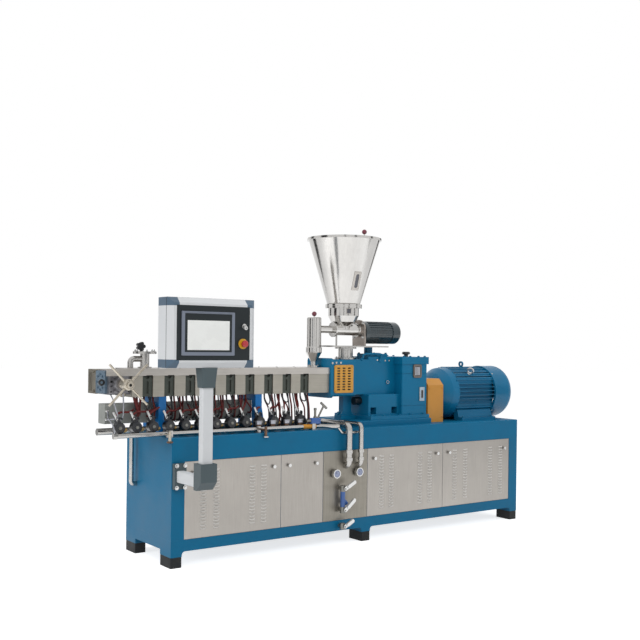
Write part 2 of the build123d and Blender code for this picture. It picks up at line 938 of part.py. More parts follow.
with BuildPart() as barrel_covers:
    for low, high in cover_spans:
        with BuildSketch(across(low, axis_y)):
            with BuildLine():
                seat = section_half + shell_gap
                Polyline(
                    (-cover_half_depth, cover_bottom),
                    (cover_half_depth, cover_bottom),
                    (cover_half_depth, cover_top),
                    (seat, cover_top),
                    (seat, screw_axis_z - seat),
                    (-seat, screw_axis_z - seat),
                    (-seat, cover_top),
                    (-cover_half_depth, cover_top),
                    close=True,
                )
            make_face()
        extrude(amount=high - low)
save(barrel_covers, "barrel_covers")

with BuildPart() as barrel_tray:
    half = cover_half_depth + tray_lip
    with BuildSketch(across(barrel_left, axis_y)):
        with BuildLine():
            Polyline(
                (-half, cover_top),
                (-half, tray_top),
                (half, tray_top),
                (half, cover_top),
                (half - tray_wall, cover_top),
                (half - tray_wall, tray_top - tray_wall),
                (tray_wall - half, tray_top - tray_wall),
                (tray_wall - half, cover_top),
                close=True,
            )
        make_face()
    extrude(amount=barrel_right - barrel_left)
    with BuildSketch(across(tray_left, axis_y)):
        with BuildLine():
            Polyline(
                (-half, cover_top),
                (-half, tray_top),
                (tray_strip - half, tray_top),
                (tray_strip - half, tray_top - tray_wall),
                (tray_wall - half, tray_top - tray_wall),
                (tray_wall - half, cover_top),
                close=True,
            )
        make_face()
    extrude(amount=barrel_left - tray_left)
save(barrel_tray, "barrel_tray")

changer_left = barrel_left - changer_length
die_plate_left = changer_left - die_plate_thickness
die_block_front = axis_y + changer_back
changer_front = axis_y - changer_half
handle_boss_radius = 45.0
handle_shaft_radius = 12.0
handle_hub_front = handle_y - 32.0
handle_hub_back = handle_y + 58.0

with BuildPart() as screen_changer:
    block(
        (changer_left, barrel_left),
        (changer_front, die_block_front),
        (screw_axis_z - changer_height / 2, screw_axis_z + changer_height / 2),
    )
    fillet(screen_changer.edges().filter_by(Axis.X), 12)
    with BuildSketch(facing(changer_front, handle_x, handle_z)):
        Circle(handle_boss_radius)
    extrude(amount=changer_front - handle_hub_back - shell_gap)
    with BuildSketch(facing(handle_hub_back + shell_gap, handle_x, handle_z)):
        Circle(handle_shaft_radius)
    extrude(amount=30)
    with BuildSketch(facing(changer_front, handle_x, handle_z)):
        with PolarLocations(handle_boss_radius + 8, 6):
            RegularPolygon(10, 6)
    extrude(amount=16)
save(screen_changer, "screen_changer")

with BuildPart() as die_plate:
    with BuildSketch(across(die_plate_left, axis_y, screw_axis_z)):
        RectangleRounded(2 * die_plate_half, 2 * die_plate_half, 6)
    extrude(amount=die_plate_thickness)
    with BuildSketch(across(die_plate_left, axis_y, screw_axis_z)):
        Circle(die_boss_radius)
        with PolarLocations(die_bolt_ring, die_bolt_count):
            RegularPolygon(8, 6)
    extrude(amount=-7)
    with BuildSketch(across(die_plate_left - 7, axis_y, screw_axis_z)):
        Circle(die_boss_radius / 2)
    extrude(amount=12, mode=Mode.SUBTRACT)
save(die_plate, "die_plate")

groove_width = 7.0
groove_depth = 9.0
groove_pitch = 18.0
block_bolt_y = 26.0

with BuildPart() as die_block:
    block(
        (die_plate_left, die_plate_left + die_block_length),
        (die_block_front, die_block_front + die_block_depth),
        (screw_axis_z - die_block_half, screw_axis_z + die_block_half),
    )
    chamfer(die_block.edges().filter_by(Axis.X), 3)
    for number in range(3):
        groove_y = die_block_front + die_block_depth - groove_pitch * (number + 1)
        with Locations(at(die_plate_left, groove_y, screw_axis_z)):
            Box(2 * groove_depth, groove_width, 2 * die_block_half - 30, mode=Mode.SUBTRACT)
    for side in (-1, 1):
        bolt_z = screw_axis_z + side * (die_block_half - 16)
        with BuildSketch(across(die_plate_left, die_block_front + block_bolt_y, bolt_z)):
            RegularPolygon(9, 6)
        extrude(amount=-7)
save(die_block, "die_block")

with BuildPart() as capstan_handle:
    with BuildSketch(facing(handle_hub_back, handle_x, handle_z)):
        Circle(34)
    extrude(amount=handle_hub_back - handle_hub_front)
    fillet(capstan_handle.faces().sort_by(Axis.Y)[0].edges(), 10)
    with BuildSketch(facing(handle_hub_back, handle_x, handle_z)):
        Circle(handle_shaft_radius + shell_gap)
    extrude(amount=34, mode=Mode.SUBTRACT)
    for number in range(4):
        angle = 45 + 90 * number
        tip = at(
            handle_x + handle_arm * cos(radians(angle)),
            handle_y - 14,
            handle_z + handle_arm * sin(radians(angle)),
        )
        hub = at(handle_x + 26 * cos(radians(angle)), handle_y - 8, handle_z + 26 * sin(radians(angle)))
        with BuildSketch(Plane(origin=hub, z_dir=tip - hub)):
            Circle(handle_rod)
        extrude(amount=(tip - hub).length)
save(capstan_handle, "capstan_handle")


def pipe(points, radius, bends):
    """Round pipe along straight runs joined by bends of the given radii."""
    with BuildLine() as route:
        if len(points) == 2:
            Line(*points)
        else:
            FilletPolyline(*points, radius=bends)
    with BuildSketch(Plane(origin=route.line @ 0, z_dir=route.line % 0)) as section:
        Circle(radius)
    sweep(section.sketch, path=route.line)


vent_x = -32.0
vent_radius = 28.0
vent_flange_radius = 72.0
vent_flange_z = 1252.0
vent_flange_thickness = 14.0
vent_pipe_radius = 17.5
vent_pipe_x = -126.0
vent_pipe_z = 1221.0

with BuildPart() as vent_port:
    turned(
        [
            (0, tray_top),
            (vent_radius + 14, tray_top),
            (vent_radius + 14, tray_top + 8),
            (vent_radius, tray_top + 8),
            (vent_radius, vent_flange_z),
            (vent_flange_radius, vent_flange_z),
            (vent_flange_radius, vent_flange_z + vent_flange_thickness),
            (0, vent_flange_z + vent_flange_thickness),
        ],
        vent_x,
        axis_y,
    )
    pipe(
        [
            at(vent_pipe_x, axis_y, tray_top),
            at(vent_pipe_x, axis_y, vent_pipe_z),
            at(vent_x, axis_y, vent_pipe_z),
        ],
        vent_pipe_radius,
        24,
    )
save(vent_port, "vent_port")

vent_knob_x = vent_x - 27.0
vent_knob_rise = 31.0
vent_knob_thickness = 24.0

with BuildPart() as vent_handle:
    handle_base = vent_flange_z + vent_flange_thickness
    with Locations(at(vent_knob_x, axis_y, handle_base)):
        Cylinder(7, vent_knob_rise, align=(Align.CENTER, Align.CENTER, Align.MIN))
    with BuildSketch(facing(axis_y + vent_knob_thickness / 2, vent_knob_x, handle_base + vent_knob_rise)):
        Circle(19)
        with PolarLocations(17, 5):
            Circle(11)
    extrude(amount=vent_knob_thickness)
save(vent_handle, "vent_handle")

stand_front_y = axis_y - 93.0
stand_back_y = axis_y + 77.0
stand_thickness = 46.0
stand_width = 48.0
stand_bar = 40.0

with BuildPart() as barrel_stands:
    for x in stand_x:
        for y in (stand_front_y, stand_back_y):
            block((x - stand_width / 2, x + stand_width / 2),
                  (y - stand_thickness / 2, y + stand_thickness / 2), (deck_top, cover_bottom))
            with BuildSketch(facing(y + stand_thickness / 2, x, deck_top)):
                with BuildLine():
                    Polyline((-stand_width / 2, 0), (stand_width, 0), (stand_width, 24),
                             (stand_width / 2, 150), (-stand_width / 2, 150), close=True)
                make_face()
            extrude(amount=stand_thickness)
        block((x - stand_width / 2, x + stand_width / 2), (stand_front_y, stand_back_y),
              (cover_bottom - stand_bar, cover_bottom))
save(barrel_stands, "barrel_stands")

wireway_top = cover_bottom - stand_bar
wireway_y = (stand_front_y + stand_back_y) / 2

with BuildPart() as wireway:
    block(
        (wireway_left, wireway_right),
        (wireway_y - wireway_depth / 2, wireway_y + wireway_depth / 2),
        (wireway_top - wireway_height, wireway_top),
    )
    fillet(wireway.edges().filter_by(Axis.X), 4)
save(wireway, "wireway")

# Operator pendant

bracket_depth = 30.0
bracket_width = 76.0
bracket_height = 150.0
arm_width = 50.0
arm_height = 68.0
elbow_back = column_y + elbow_depth / 2
elbow_chamfer = 48.0
bolt_head = 8.0

with BuildPart() as arm_fittings:
    block(
        (column_x - bracket_width / 2, column_x + bracket_width / 2),
        (-bracket_depth, 0),
        (arm_z - bracket_height / 2, arm_z + bracket_height / 2),
    )
    with BuildSketch(facing(-bracket_depth, column_x, arm_z)):
        with GridLocations(bracket_width - 22, bracket_height - 22, 2, 2):
            RegularPolygon(bolt_head, 6)
    extrude(amount=6)
    block(
        (column_x - elbow_width / 2, column_x + elbow_width / 2),
        (column_y - elbow_depth / 2, elbow_back),
        (elbow_bottom, elbow_top),
    )
    lower_edge = arm_fittings.edges().filter_by(Axis.X).group_by(Axis.Y)[0].sort_by(Axis.Z)[0]
    chamfer(lower_edge, elbow_chamfer)
save(arm_fittings, "arm_fittings")

with BuildPart() as arm_tubes:
    with BuildSketch(facing(-bracket_depth, column_x, arm_z)):
        RectangleRounded(arm_width, arm_height, 8)
    extrude(amount=-bracket_depth - elbow_back)
    with BuildSketch(level(elbow_top)):
        with Locations((column_x, column_y)):
            RectangleRounded(column_width, column_depth, 9)
    extrude(amount=column_top - elbow_top)
save(arm_tubes, "arm_tubes")

head_bottom = column_top + swivel_gap
head_width = 82.0
head_depth = 68.0
head_flare = 18.0
head_round = 10.0

with BuildPart() as pendant_head:
    with BuildSketch(level(head_bottom)):
        with Locations((column_x, column_y)):
            RectangleRounded(head_width, head_depth, head_round)
    with BuildSketch(level(pendant_bottom)):
        with Locations((column_x, column_y)):
            RectangleRounded(head_width + head_flare, head_depth + head_flare, head_round)
    loft()
save(pendant_head, "pendant_head")

pendant_front = column_y - pendant_depth / 2 - pendant_offset
pendant_middle = pendant_bottom + pendant_height / 2
panel_pocket = 4.0
front_plate = 3.0


def pendant_shell():
    """Whole pendant case with bevelled front edges and a shallow pocket for its front plate."""
    block(
        (pendant_x - pendant_width / 2, pendant_x + pendant_width / 2),
        (pendant_front, pendant_front + pendant_depth),
        (pendant_bottom, pendant_bottom + pendant_height),
    )


def pendant_corner_blocks(mode):
    """Blocks that cover the four corners of the case over its whole depth."""
    with BuildSketch(facing(pendant_front - 1, pendant_x, pendant_middle)) as corners:
        with GridLocations(pendant_width - corner_length, pendant_height - corner_height, 2, 2):
            Rectangle(corner_length, corner_height)
    extrude(corners.sketch, amount=-pendant_depth - 2, mode=mode)


with BuildPart() as pendant_corners:
    pendant_shell()
    chamfer(pendant_corners.faces().sort_by(Axis.Y)[0].edges(), pendant_bevel)
    pendant_corner_blocks(Mode.INTERSECT)
    with BuildSketch(facing(pendant_front, pendant_x, pendant_middle)):
        Rectangle(front_width, front_height)
    extrude(amount=-panel_pocket, mode=Mode.SUBTRACT)
save(pendant_corners, "pendant_corners")

with BuildPart() as pendant_case:
    pendant_shell()
    chamfer(pendant_case.faces().sort_by(Axis.Y)[0].edges(), pendant_bevel)
    pendant_corner_blocks(Mode.SUBTRACT)
    with BuildSketch(facing(pendant_front, pendant_x, pendant_middle)):
        Rectangle(front_width, front_height)
    extrude(amount=-panel_pocket, mode=Mode.SUBTRACT)
save(pendant_case, "pendant_case")

plate_front = pendant_front + panel_pocket - front_plate

with BuildPart() as pendant_front_plate:
    with BuildSketch(facing(pendant_front + panel_pocket, pendant_x, pendant_middle)):
        Rectangle(front_width, front_height)
    extrude(amount=front_plate)
save(pendant_front_plate, "pendant_front_plate")

with BuildPart() as touch_screen:
    with BuildSketch(facing(plate_front, screen_x, screen_z)):
        RectangleRounded(screen_width, screen_height, 5)
    extrude(amount=screen_thickness)
    with BuildSketch(facing(plate_front - screen_thickness, screen_x, screen_z)):
        with Locations((0, screen_rise)):
            RectangleRounded(screen_width - 2 * screen_border, screen_height - 2 * screen_border + 14, 3)
    extrude(amount=-2, mode=Mode.SUBTRACT)
save(touch_screen, "touch_screen")

with BuildPart() as emergency_stop:
    with BuildSketch(facing(plate_front, stop_x, stop_z)):
        Circle(stop_collar_radius)
    extrude(amount=6)
    with BuildSketch(facing(plate_front - 6, stop_x, stop_z)):
        Circle(13)
    extrude(amount=14)
    with BuildSketch(facing(plate_front - 20, stop_x, stop_z)):
        Circle(20)
    extrude(amount=14)
    fillet(emergency_stop.faces().sort_by(Axis.Y)[0].edges(), 5)
save(emergency_stop, "emergency_stop")

with BuildPart() as key_switch:
    with BuildSketch(facing(plate_front, key_x, key_z)):
        Circle(14)
    extrude(amount=9)
    with BuildSketch(facing(plate_front - 9, key_x, key_z)):
        Rectangle(3, 14)
    extrude(amount=16)
    with BuildSketch(facing(plate_front - 24, key_x, key_z)):
        with Locations((0, -10)):
            Circle(11)
            Circle(4, mode=Mode.SUBTRACT)
    extrude(amount=3)
save(key_switch, "key_switch")

# Cooling water pipes, zone valves and leads

supply_z = deck_top + pipe_lift + manifold_radius
return_z = deck_top + pipe_lift + return_radius

valve_x = [first_valve_x + valve_pitch * number for number in range(valve_count)]
boss_y = manifold_y + manifold_radius + 5.0
boss_radius = 12.0
nipple_radius = 8.0
clamp_half = 13.0
clamp_rise = 5.0


def clamp(x, y, z, radius):
    """Clamp that carries a pipe running along x above the deck."""
    block((x - clamp_half, x + clamp_half), (y - radius - clamp_rise, y + radius + clamp_rise),
          (deck_top, z + radius + clamp_rise))


with BuildPart() as supply_pipe:
    pipe(
        [
            at(manifold_left, manifold_y, supply_z),
            at(manifold_right, manifold_y, supply_z),
            at(manifold_right + 80, thin_pipe_y, supply_z),
            at(manifold_right + 100, thin_pipe_y, supply_z),
        ],
        manifold_radius,
        [30, 12],
    )
    with BuildSketch(across(manifold_left - 10, manifold_y, supply_z)):
        RegularPolygon(manifold_radius + 5, 6)
    extrude(amount=24)
    pipe(
        [
            at(manifold_right + 90, thin_pipe_y, supply_z),
            at(manifold_right + 132, thin_pipe_y, thin_pipe_z),
            at(outer_pipe_x, thin_pipe_y, thin_pipe_z),
            at(outer_pipe_x, down_pipe_y + outer_pipe_radius, thin_pipe_z),
        ],
        thin_pipe_radius,
        [14, 9],
    )
    for x in valve_x:
        with BuildSketch(facing(boss_y, x, supply_z)) as boss:
            RegularPolygon(boss_radius, 6)
        extrude(boss.sketch, amount=boss_y - manifold_y)
    for x in clamp_x:
        clamp(x, manifold_y, supply_z, manifold_radius)
save(supply_pipe, "supply_pipe")

with BuildPart() as return_pipe:
    pipe(
        [
            at(return_left, return_y, return_z),
            at(inner_pipe_x, return_y, return_z),
            at(inner_pipe_x, down_pipe_y, return_z),
            at(inner_pipe_x, down_pipe_y, down_pipe_z),
            at(inner_pipe_x, panel_recess, down_pipe_z),
        ],
        return_radius,
        34,
    )
    pipe(
        [
            at(inner_pipe_x, cross_pipe_y, return_z),
            at(outer_pipe_x, cross_pipe_y, return_z),
            at(outer_pipe_x, down_pipe_y, return_z),
            at(outer_pipe_x, down_pipe_y, down_pipe_z),
            at(outer_pipe_x, panel_recess, down_pipe_z),
        ],
        outer_pipe_radius,
        28,
    )
    for x, radius in ((inner_pipe_x, return_radius), (outer_pipe_x, outer_pipe_radius)):
        for z in (down_pipe_z + 44, down_pipe_z + 96):
            with Locations(at(x, down_pipe_y, z)):
                Cylinder(radius + 6, 22)
    pipe(
        [
            at(end_pipe_x, return_y, return_z),
            at(end_pipe_x, end_pipe_y, return_z),
            at(end_pipe_x, end_pipe_y, end_pipe_z),
            at(0, end_pipe_y, end_pipe_z),
        ],
        end_pipe_radius,
        20,
    )
    for x in clamp_x:
        clamp(x + 90, return_y, return_z, return_radius)
save(return_pipe, "return_pipe")

body_y = manifold_y + 100.0
body_size = 30.0
body_top = supply_z + 44.0
coil_back = body_y - body_size / 2
coil_z = supply_z + nipple_radius + coil_radius + 1.0
cock_z = body_top + 38.0
cock_radius = 11.0
flange_bottom = screw_axis_z - joint_flange_half
port_y = axis_y - 38.0
lead_port_y = axis_y - 69.0
lever_length = 58.0
port_shift = 11.5


# Each valve feeds a barrel joint; where two share a joint, the left one takes the left port.
fed_joint = [round(number * (joint_count - 1) / (valve_count - 1)) for number in range(valve_count)]
shares_joint = [number > 0 and fed_joint[number] == fed_joint[number - 1] for number in range(valve_count)]

with BuildPart() as zone_valves:
    for x, joint, second in zip(valve_x, fed_joint, shares_joint):
        port_x = joints[joint] + (port_shift if second else -port_shift)
        turn_z = flange_bottom - (66 if second else 46)
        with BuildSketch(facing(boss_y, x, supply_z)) as nipple:
            Circle(nipple_radius)
        extrude(nipple.sketch, amount=boss_y - coil_back)
        block((x - body_size / 2, x + body_size / 2), (coil_back, coil_back + body_size),
              (supply_z - 12, body_top))
        pipe(
            [
                at(x, body_y, body_top - 2),
                at(x, body_y, cock_z + 26),
                at(port_x, body_y, turn_z),
                at(port_x, port_y, flange_bottom - 26),
                at(port_x, port_y, flange_bottom),
            ],
            tube_radius,
            [14, 14, 12],
        )
        with Locations(at(x, body_y, cock_z)):
            Cylinder(cock_radius, 26)
        with BuildSketch(facing(body_y, x, cock_z)) as stem:
            Circle(5)
        extrude(stem.sketch, amount=cock_radius + 4)
        with BuildSketch(facing(body_y - cock_radius - 4, x, cock_z)) as lever:
            with Locations(Location((-lever_length * 0.2, lever_length * 0.4, 0), (0, 0, 118))):
                SlotOverall(lever_length, 11)
        extrude(lever.sketch, amount=4)
save(zone_valves, "zone_valves")

plug_half = 10.0
plug_y = coil_back - coil_length / 2
plug_top = coil_z + coil_radius + 6.0

with BuildPart() as valve_coils:
    for x in valve_x:
        with BuildSketch(facing(coil_back, x, coil_z)):
            Circle(coil_radius)
        extrude(amount=coil_length)
    fillet(valve_coils.edges().filter_by(GeomType.CIRCLE).group_by(Axis.Y)[0], 3)
    for x in valve_x:
        block((x - plug_half, x + plug_half), (plug_y - plug_half, plug_y + plug_half), (coil_z, plug_top))
save(valve_coils, "valve_coils")


def lead(points, radius):
    """Sleeved lead whose bends are as wide as the runs beside them allow."""
    radii = []
    for before, corner, after in zip(points, points[1:], points[2:]):
        turn = (corner - before).get_angle(after - corner)
        run = min((corner - before).length, (after - corner).length)
        radii.append(0.45 * run / tan(radians(turn / 2)))
    pipe(points, radius, radii)


wireway_front = wireway_y - wireway_depth / 2
lead_radius = 5.0
wireway_lead_z = wireway_top - wireway_height / 2 - 20

deck_lead_z = flange_bottom - 180.0

with BuildPart() as sensor_leads:
    for number, x in enumerate(joints):
        sway = 8 if number % 2 else -4
        over_wireway = x + 40 < wireway_right
        upper = [
            at(x, lead_port_y, flange_bottom),
            at(x, lead_port_y, flange_bottom - 50),
            at(x + 20 + sway, lead_port_y - 30, flange_bottom - 100),
        ]
        if over_wireway:
            lower = [at(x + 26, lead_port_y - 18, wireway_lead_z), at(x + 26, wireway_front, wireway_lead_z)]
        else:
            lower = [at(x + 26, lead_port_y - 22, deck_lead_z), at(x + 26, lead_port_y - 22, deck_top)]
        lead(upper + lower, lead_radius)
        if any(abs(x - 40 - stand) < stand_width for stand in stand_x):
            continue
        upper = [
            at(x - 26, lead_port_y, flange_bottom),
            at(x - 26, lead_port_y, flange_bottom - 44),
            at(x - 44 - sway, lead_port_y - 30, flange_bottom - 95),
        ]
        if over_wireway:
            second_z = wireway_lead_z + 10
            lower = [at(x - 34, lead_port_y - 18, second_z), at(x - 34, wireway_front, second_z)]
        else:
            lower = [at(x - 8, lead_port_y - 10, deck_lead_z), at(x - 8, lead_port_y - 10, deck_top)]
        lead(upper + lower, lead_radius)
save(sensor_leads, "sensor_leads")

coil_lead_shift = 40.0
coil_lead_z = 850.0
deck_lead_y = 180.0

with BuildPart() as coil_leads:
    for x in valve_x:
        start = [
            at(x, plug_y, plug_top),
            at(x, plug_y, plug_top + 20),
            at(x + 34, plug_y + 27, plug_top + 14),
        ]
        end_x = x + coil_lead_shift
        if end_x < wireway_right:
            end = [at(end_x, wireway_front - 52, coil_lead_z), at(end_x, wireway_front, coil_lead_z)]
        else:
            end = [at(end_x, deck_lead_y, coil_lead_z - 20), at(end_x, deck_lead_y, deck_top)]
        lead(start + end, lead_radius)
save(coil_leads, "coil_leads")

gauge_radius = 30.0
gauge_depth = 24.0

with BuildPart() as flow_gauges:
    for x in (inner_pipe_x - 89, outer_pipe_x):
        with BuildSketch(facing(panel_recess, x, flow_gauge_z)):
            Circle(14)
        extrude(amount=14)
        with BuildSketch(facing(panel_recess - 14, x, flow_gauge_z)):
            RegularPolygon(gauge_radius, 12)
        extrude(amount=gauge_depth)
        with BuildSketch(facing(panel_recess - 14 - gauge_depth, x, flow_gauge_z)):
            Circle(gauge_radius - 7)
        extrude(amount=-3, mode=Mode.SUBTRACT)
save(flow_gauges, "flow_gauges")

stem_radius = 5.0
stem_end = -68.0
lever_back = -60.0
lever_thickness = 6.0
lever_width = 26.0
cock_half_height = 20.0

with BuildPart() as panel_valves:
    for z, wall_y in ((valve_high_z, panel_recess), (valve_mid_z, panel_recess), (valve_low_z, 0)):
        with BuildSketch(facing(wall_y, panel_valve_x, z)) as stub:
            Circle(12)
        extrude(stub.sketch, amount=wall_y - panel_valve_y)
        with Locations(at(panel_valve_x, panel_valve_y, z)):
            Cylinder(18, 2 * cock_half_height)
        with BuildSketch(facing(panel_valve_y, panel_valve_x, z)) as stem:
            Circle(stem_radius)
        extrude(stem.sketch, amount=panel_valve_y - stem_end)
save(panel_valves, "panel_valves")

with BuildPart() as water_strainer:
    with Locations(at(panel_valve_x, panel_valve_y, (valve_high_z + valve_mid_z) / 2)):
        Cylinder(16, valve_high_z - valve_mid_z - 2 * cock_half_height)
    with BuildSketch(
        Plane(origin=at(panel_valve_x, panel_valve_y, (valve_high_z + valve_mid_z) / 2), z_dir=(1, 0, -1))
    ):
        Circle(13)
    extrude(amount=46)
save(water_strainer, "water_strainer")


def valve_lever(z, angle, length):
    """Hand lever turning on one valve stem, drawn at its angle above the horizontal."""
    slope = radians(angle)
    plane = Plane(
        origin=at(panel_valve_x, lever_back, z),
        x_dir=(cos(slope), 0, sin(slope)),
        z_dir=(0, -1, 0),
    )
    with BuildPart() as lever:
        with BuildSketch(plane):
            with Locations((length / 2 - 9, 0)):
                SlotOverall(length, lever_width)
            Circle(stem_radius + shell_gap, mode=Mode.SUBTRACT)
        extrude(amount=lever_thickness)
        with BuildSketch(plane.offset(lever_thickness)):
            with Locations((length * 0.62 - 9, 0)):
                SlotOverall(length * 0.72, lever_width - 3)
        extrude(amount=7)
    return lever


for name, z, angle, length in (
    ("valve_lever_high", valve_high_z, 29, 104),
    ("valve_lever_mid", valve_mid_z, 41, 116),
    ("valve_lever_low", valve_low_z, 29, 90),
):
    save(valve_lever(z, angle, length), name)
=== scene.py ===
import math
import random

import bmesh
import bpy
from mathutils import Matrix, Vector


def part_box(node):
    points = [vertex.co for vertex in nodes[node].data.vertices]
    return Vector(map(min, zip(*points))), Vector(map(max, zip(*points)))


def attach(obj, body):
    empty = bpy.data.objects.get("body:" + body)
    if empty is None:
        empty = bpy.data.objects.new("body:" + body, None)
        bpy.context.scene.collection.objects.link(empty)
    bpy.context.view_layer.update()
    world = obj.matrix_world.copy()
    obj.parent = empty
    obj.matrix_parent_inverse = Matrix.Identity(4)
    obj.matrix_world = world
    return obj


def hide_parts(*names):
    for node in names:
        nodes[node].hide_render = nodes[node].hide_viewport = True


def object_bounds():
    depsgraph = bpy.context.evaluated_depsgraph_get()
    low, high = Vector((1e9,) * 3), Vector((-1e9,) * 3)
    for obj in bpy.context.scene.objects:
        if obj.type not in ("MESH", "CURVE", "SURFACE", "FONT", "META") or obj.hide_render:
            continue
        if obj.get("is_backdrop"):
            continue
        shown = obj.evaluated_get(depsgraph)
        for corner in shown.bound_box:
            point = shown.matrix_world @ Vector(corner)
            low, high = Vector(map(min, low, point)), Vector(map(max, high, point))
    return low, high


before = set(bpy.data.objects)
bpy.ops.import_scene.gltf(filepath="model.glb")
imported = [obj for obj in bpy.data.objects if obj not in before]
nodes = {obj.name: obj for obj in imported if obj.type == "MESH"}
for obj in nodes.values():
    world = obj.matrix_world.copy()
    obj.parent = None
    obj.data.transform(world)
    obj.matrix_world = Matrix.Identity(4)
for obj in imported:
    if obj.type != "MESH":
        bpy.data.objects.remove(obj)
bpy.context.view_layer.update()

corner = Vector((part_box("base_deck")[0].x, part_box("base_deck")[0].y, 0))
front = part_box("cover_panels")[0].y
RIGHT = Vector((1, 0, 0))
BACK = Vector((0, 1, 0))
UP = Vector((0, 0, 1))
TO_VIEWER = -BACK

# Main stations in millimetres from the base's front left floor corner
axis_y = 313
supply_y = 60
supply_z = 785
barrel_joints = [-66 + 142.4 * number for number in range(9)]
valve_x = [-278 + 106 * number for number in range(13)]


def machine(x, y, z):
    """Place in metres of a point in millimetres from that corner."""
    return Vector((corner.x + x / 1000, corner.y + y / 1000, z / 1000))


def at_depth(x, depth, z):
    """Like machine, but at a depth given in the scene's own metres."""
    place = machine(x, 0, z)
    place.y = depth
    return place


def around(steps):
    """Angles of a full turn in even steps."""
    return [2 * math.pi * k / steps for k in range(steps)]


def ring_places(x, y, z, radius, count, start):
    """Places spread evenly on a level circle, the first at a start angle."""
    return [machine(x + radius * math.cos(a + start), y + radius * math.sin(a + start), z)
            for a in around(count)]


def both_sides(stations, reach, z):
    """Places in front of and behind the machine's axis at each station."""
    return [machine(x, axis_y + side * reach, z) for x in stations for side in (-1, 1)]


# Materials


def linear(colour):
    """Scene colour of a hex colour as seen on a screen."""
    parts = [int(colour[i : i + 2], 16) / 255 for i in (1, 3, 5)]
    return [p / 12.92 if p <= 0.04045 else ((p + 0.055) / 1.055) ** 2.4 for p in parts] + [1]


def add(tree, kind, links=(), **values):
    """New shader node with its properties, socket values and incoming links set."""
    made = tree.nodes.new("ShaderNode" + kind)
    for name, value in values.items():
        socket = made.inputs.get(name.replace("_", " "))
        if socket is not None:
            socket.default_value = value
        else:
            setattr(made, name, value)
    for name, source in links:
        tree.links.new(source, made.inputs[name])
    return made


def noise(tree, stretch, scale, detail, roughness=0.55):
    """Noise in the object's own metres, stretched along each axis."""
    coords = add(tree, "TexCoord")
    mapping = add(tree, "Mapping", [("Vector", coords.outputs["Object"])], Scale=stretch)
    made = add(tree, "TexNoise", [("Vector", mapping.outputs["Vector"])], Scale=scale, Detail=detail,
               Roughness=roughness)
    return made.outputs["Fac"]


def ramp(tree, source, low, high, start=0.3, end=0.7):
    """Value from low to high as the source goes from start to end."""
    made = add(tree, "MapRange", [("Value", source)], From_Min=start, From_Max=end, To_Min=low, To_Max=high)
    return made.outputs["Result"]


def tint(tree, source, factor, colour):
    """Mixes a colour into another by a factor."""
    made = add(tree, "Mix", [(0, factor), (6, source)], data_type="RGBA")
    made.inputs[7].default_value = colour
    return made.outputs[2]


def edge_mask(tree, radius):
    """1 along the piece's edges and 0 on its flats, and the rounded normal."""
    bevel = add(tree, "Bevel", Radius=radius, samples=4)
    geometry = add(tree, "NewGeometry")
    dot = add(tree, "VectorMath", [(0, bevel.outputs["Normal"]), (1, geometry.outputs["Normal"])],
              operation="DOT_PRODUCT")
    return ramp(tree, dot.outputs["Value"], 1, 0, 0.86, 0.995), bevel.outputs["Normal"]


def finish(name, colour, rough, metal=0, coat=0, mottle=0.06, mottle_scale=5, grain=None,
           grain_scale=260, grain_amount=0.12, bump=0.05, bump_scale=180, edge_wear_and_highlight=0, worn_and_lit_colour="#C8CCCE",
           grime=0, dirt="#3A3630", edge=0.0015, specular=0.5):
    """Procedural material: mottled colour, grain or orange peel, edges made paler partly as wear and partly
    as a painted edge highlight, and grime.
    """
    made = bpy.data.materials.new(name)
    made.use_nodes = True
    tree = made.node_tree
    shader = tree.nodes["Principled BSDF"]
    for socket, value in (("Metallic", metal), ("Coat Weight", coat), ("Coat Roughness", 0.12),
                          ("Specular IOR Level", specular)):
        shader.inputs[socket].default_value = value
    base = linear(colour)
    cloud = noise(tree, (1, 1, 1), mottle_scale, 5)
    light = [min(1, c * (1 + mottle)) for c in base[:3]] + [1]
    dark = [c * (1 - mottle) for c in base[:3]] + [1]
    plain = add(tree, "RGB")
    plain.outputs[0].default_value = dark
    paint = tint(tree, plain.outputs[0], ramp(tree, cloud, 0, 1), light)
    fine = noise(tree, grain or (1, 1, 1), grain_scale if grain else bump_scale, 4, 0.7)
    if grain:
        paint = tint(tree, paint, ramp(tree, fine, 0, grain_amount), [0, 0, 0, 1])
    edges, rounded = edge_mask(tree, edge)
    if grime:
        patches = noise(tree, (1, 1, 1.6), 9, 6, 0.65)
        paint = tint(tree, paint, ramp(tree, patches, 0, grime, 0.5, 0.85), linear(dirt))
    # Paler colour along the edges: partly wear, partly a painted edge highlight.
    if edge_wear_and_highlight:
        chips = noise(tree, (1, 1, 1), 60, 4, 0.7)
        amount = add(tree, "Math", [(0, edges), (1, ramp(tree, chips, 0, edge_wear_and_highlight, 0.35, 0.7))],
                     operation="MULTIPLY")
        paint = tint(tree, paint, amount.outputs[0], linear(worn_and_lit_colour))
    tree.links.new(paint, shader.inputs["Base Color"])
    tree.links.new(ramp(tree, fine if grain else cloud, rough * 0.82, min(1, rough * 1.2)),
                   shader.inputs["Roughness"])
    relief = add(tree, "Bump", [("Height", fine), ("Normal", rounded)], Strength=bump, Distance=0.0006)
    tree.links.new(relief.outputs["Normal"], shader.inputs["Normal"])
    return made


BRUSHED_ALONG_X = (0.02, 1, 1)
BRUSHED_UP = (1, 1, 0.02)

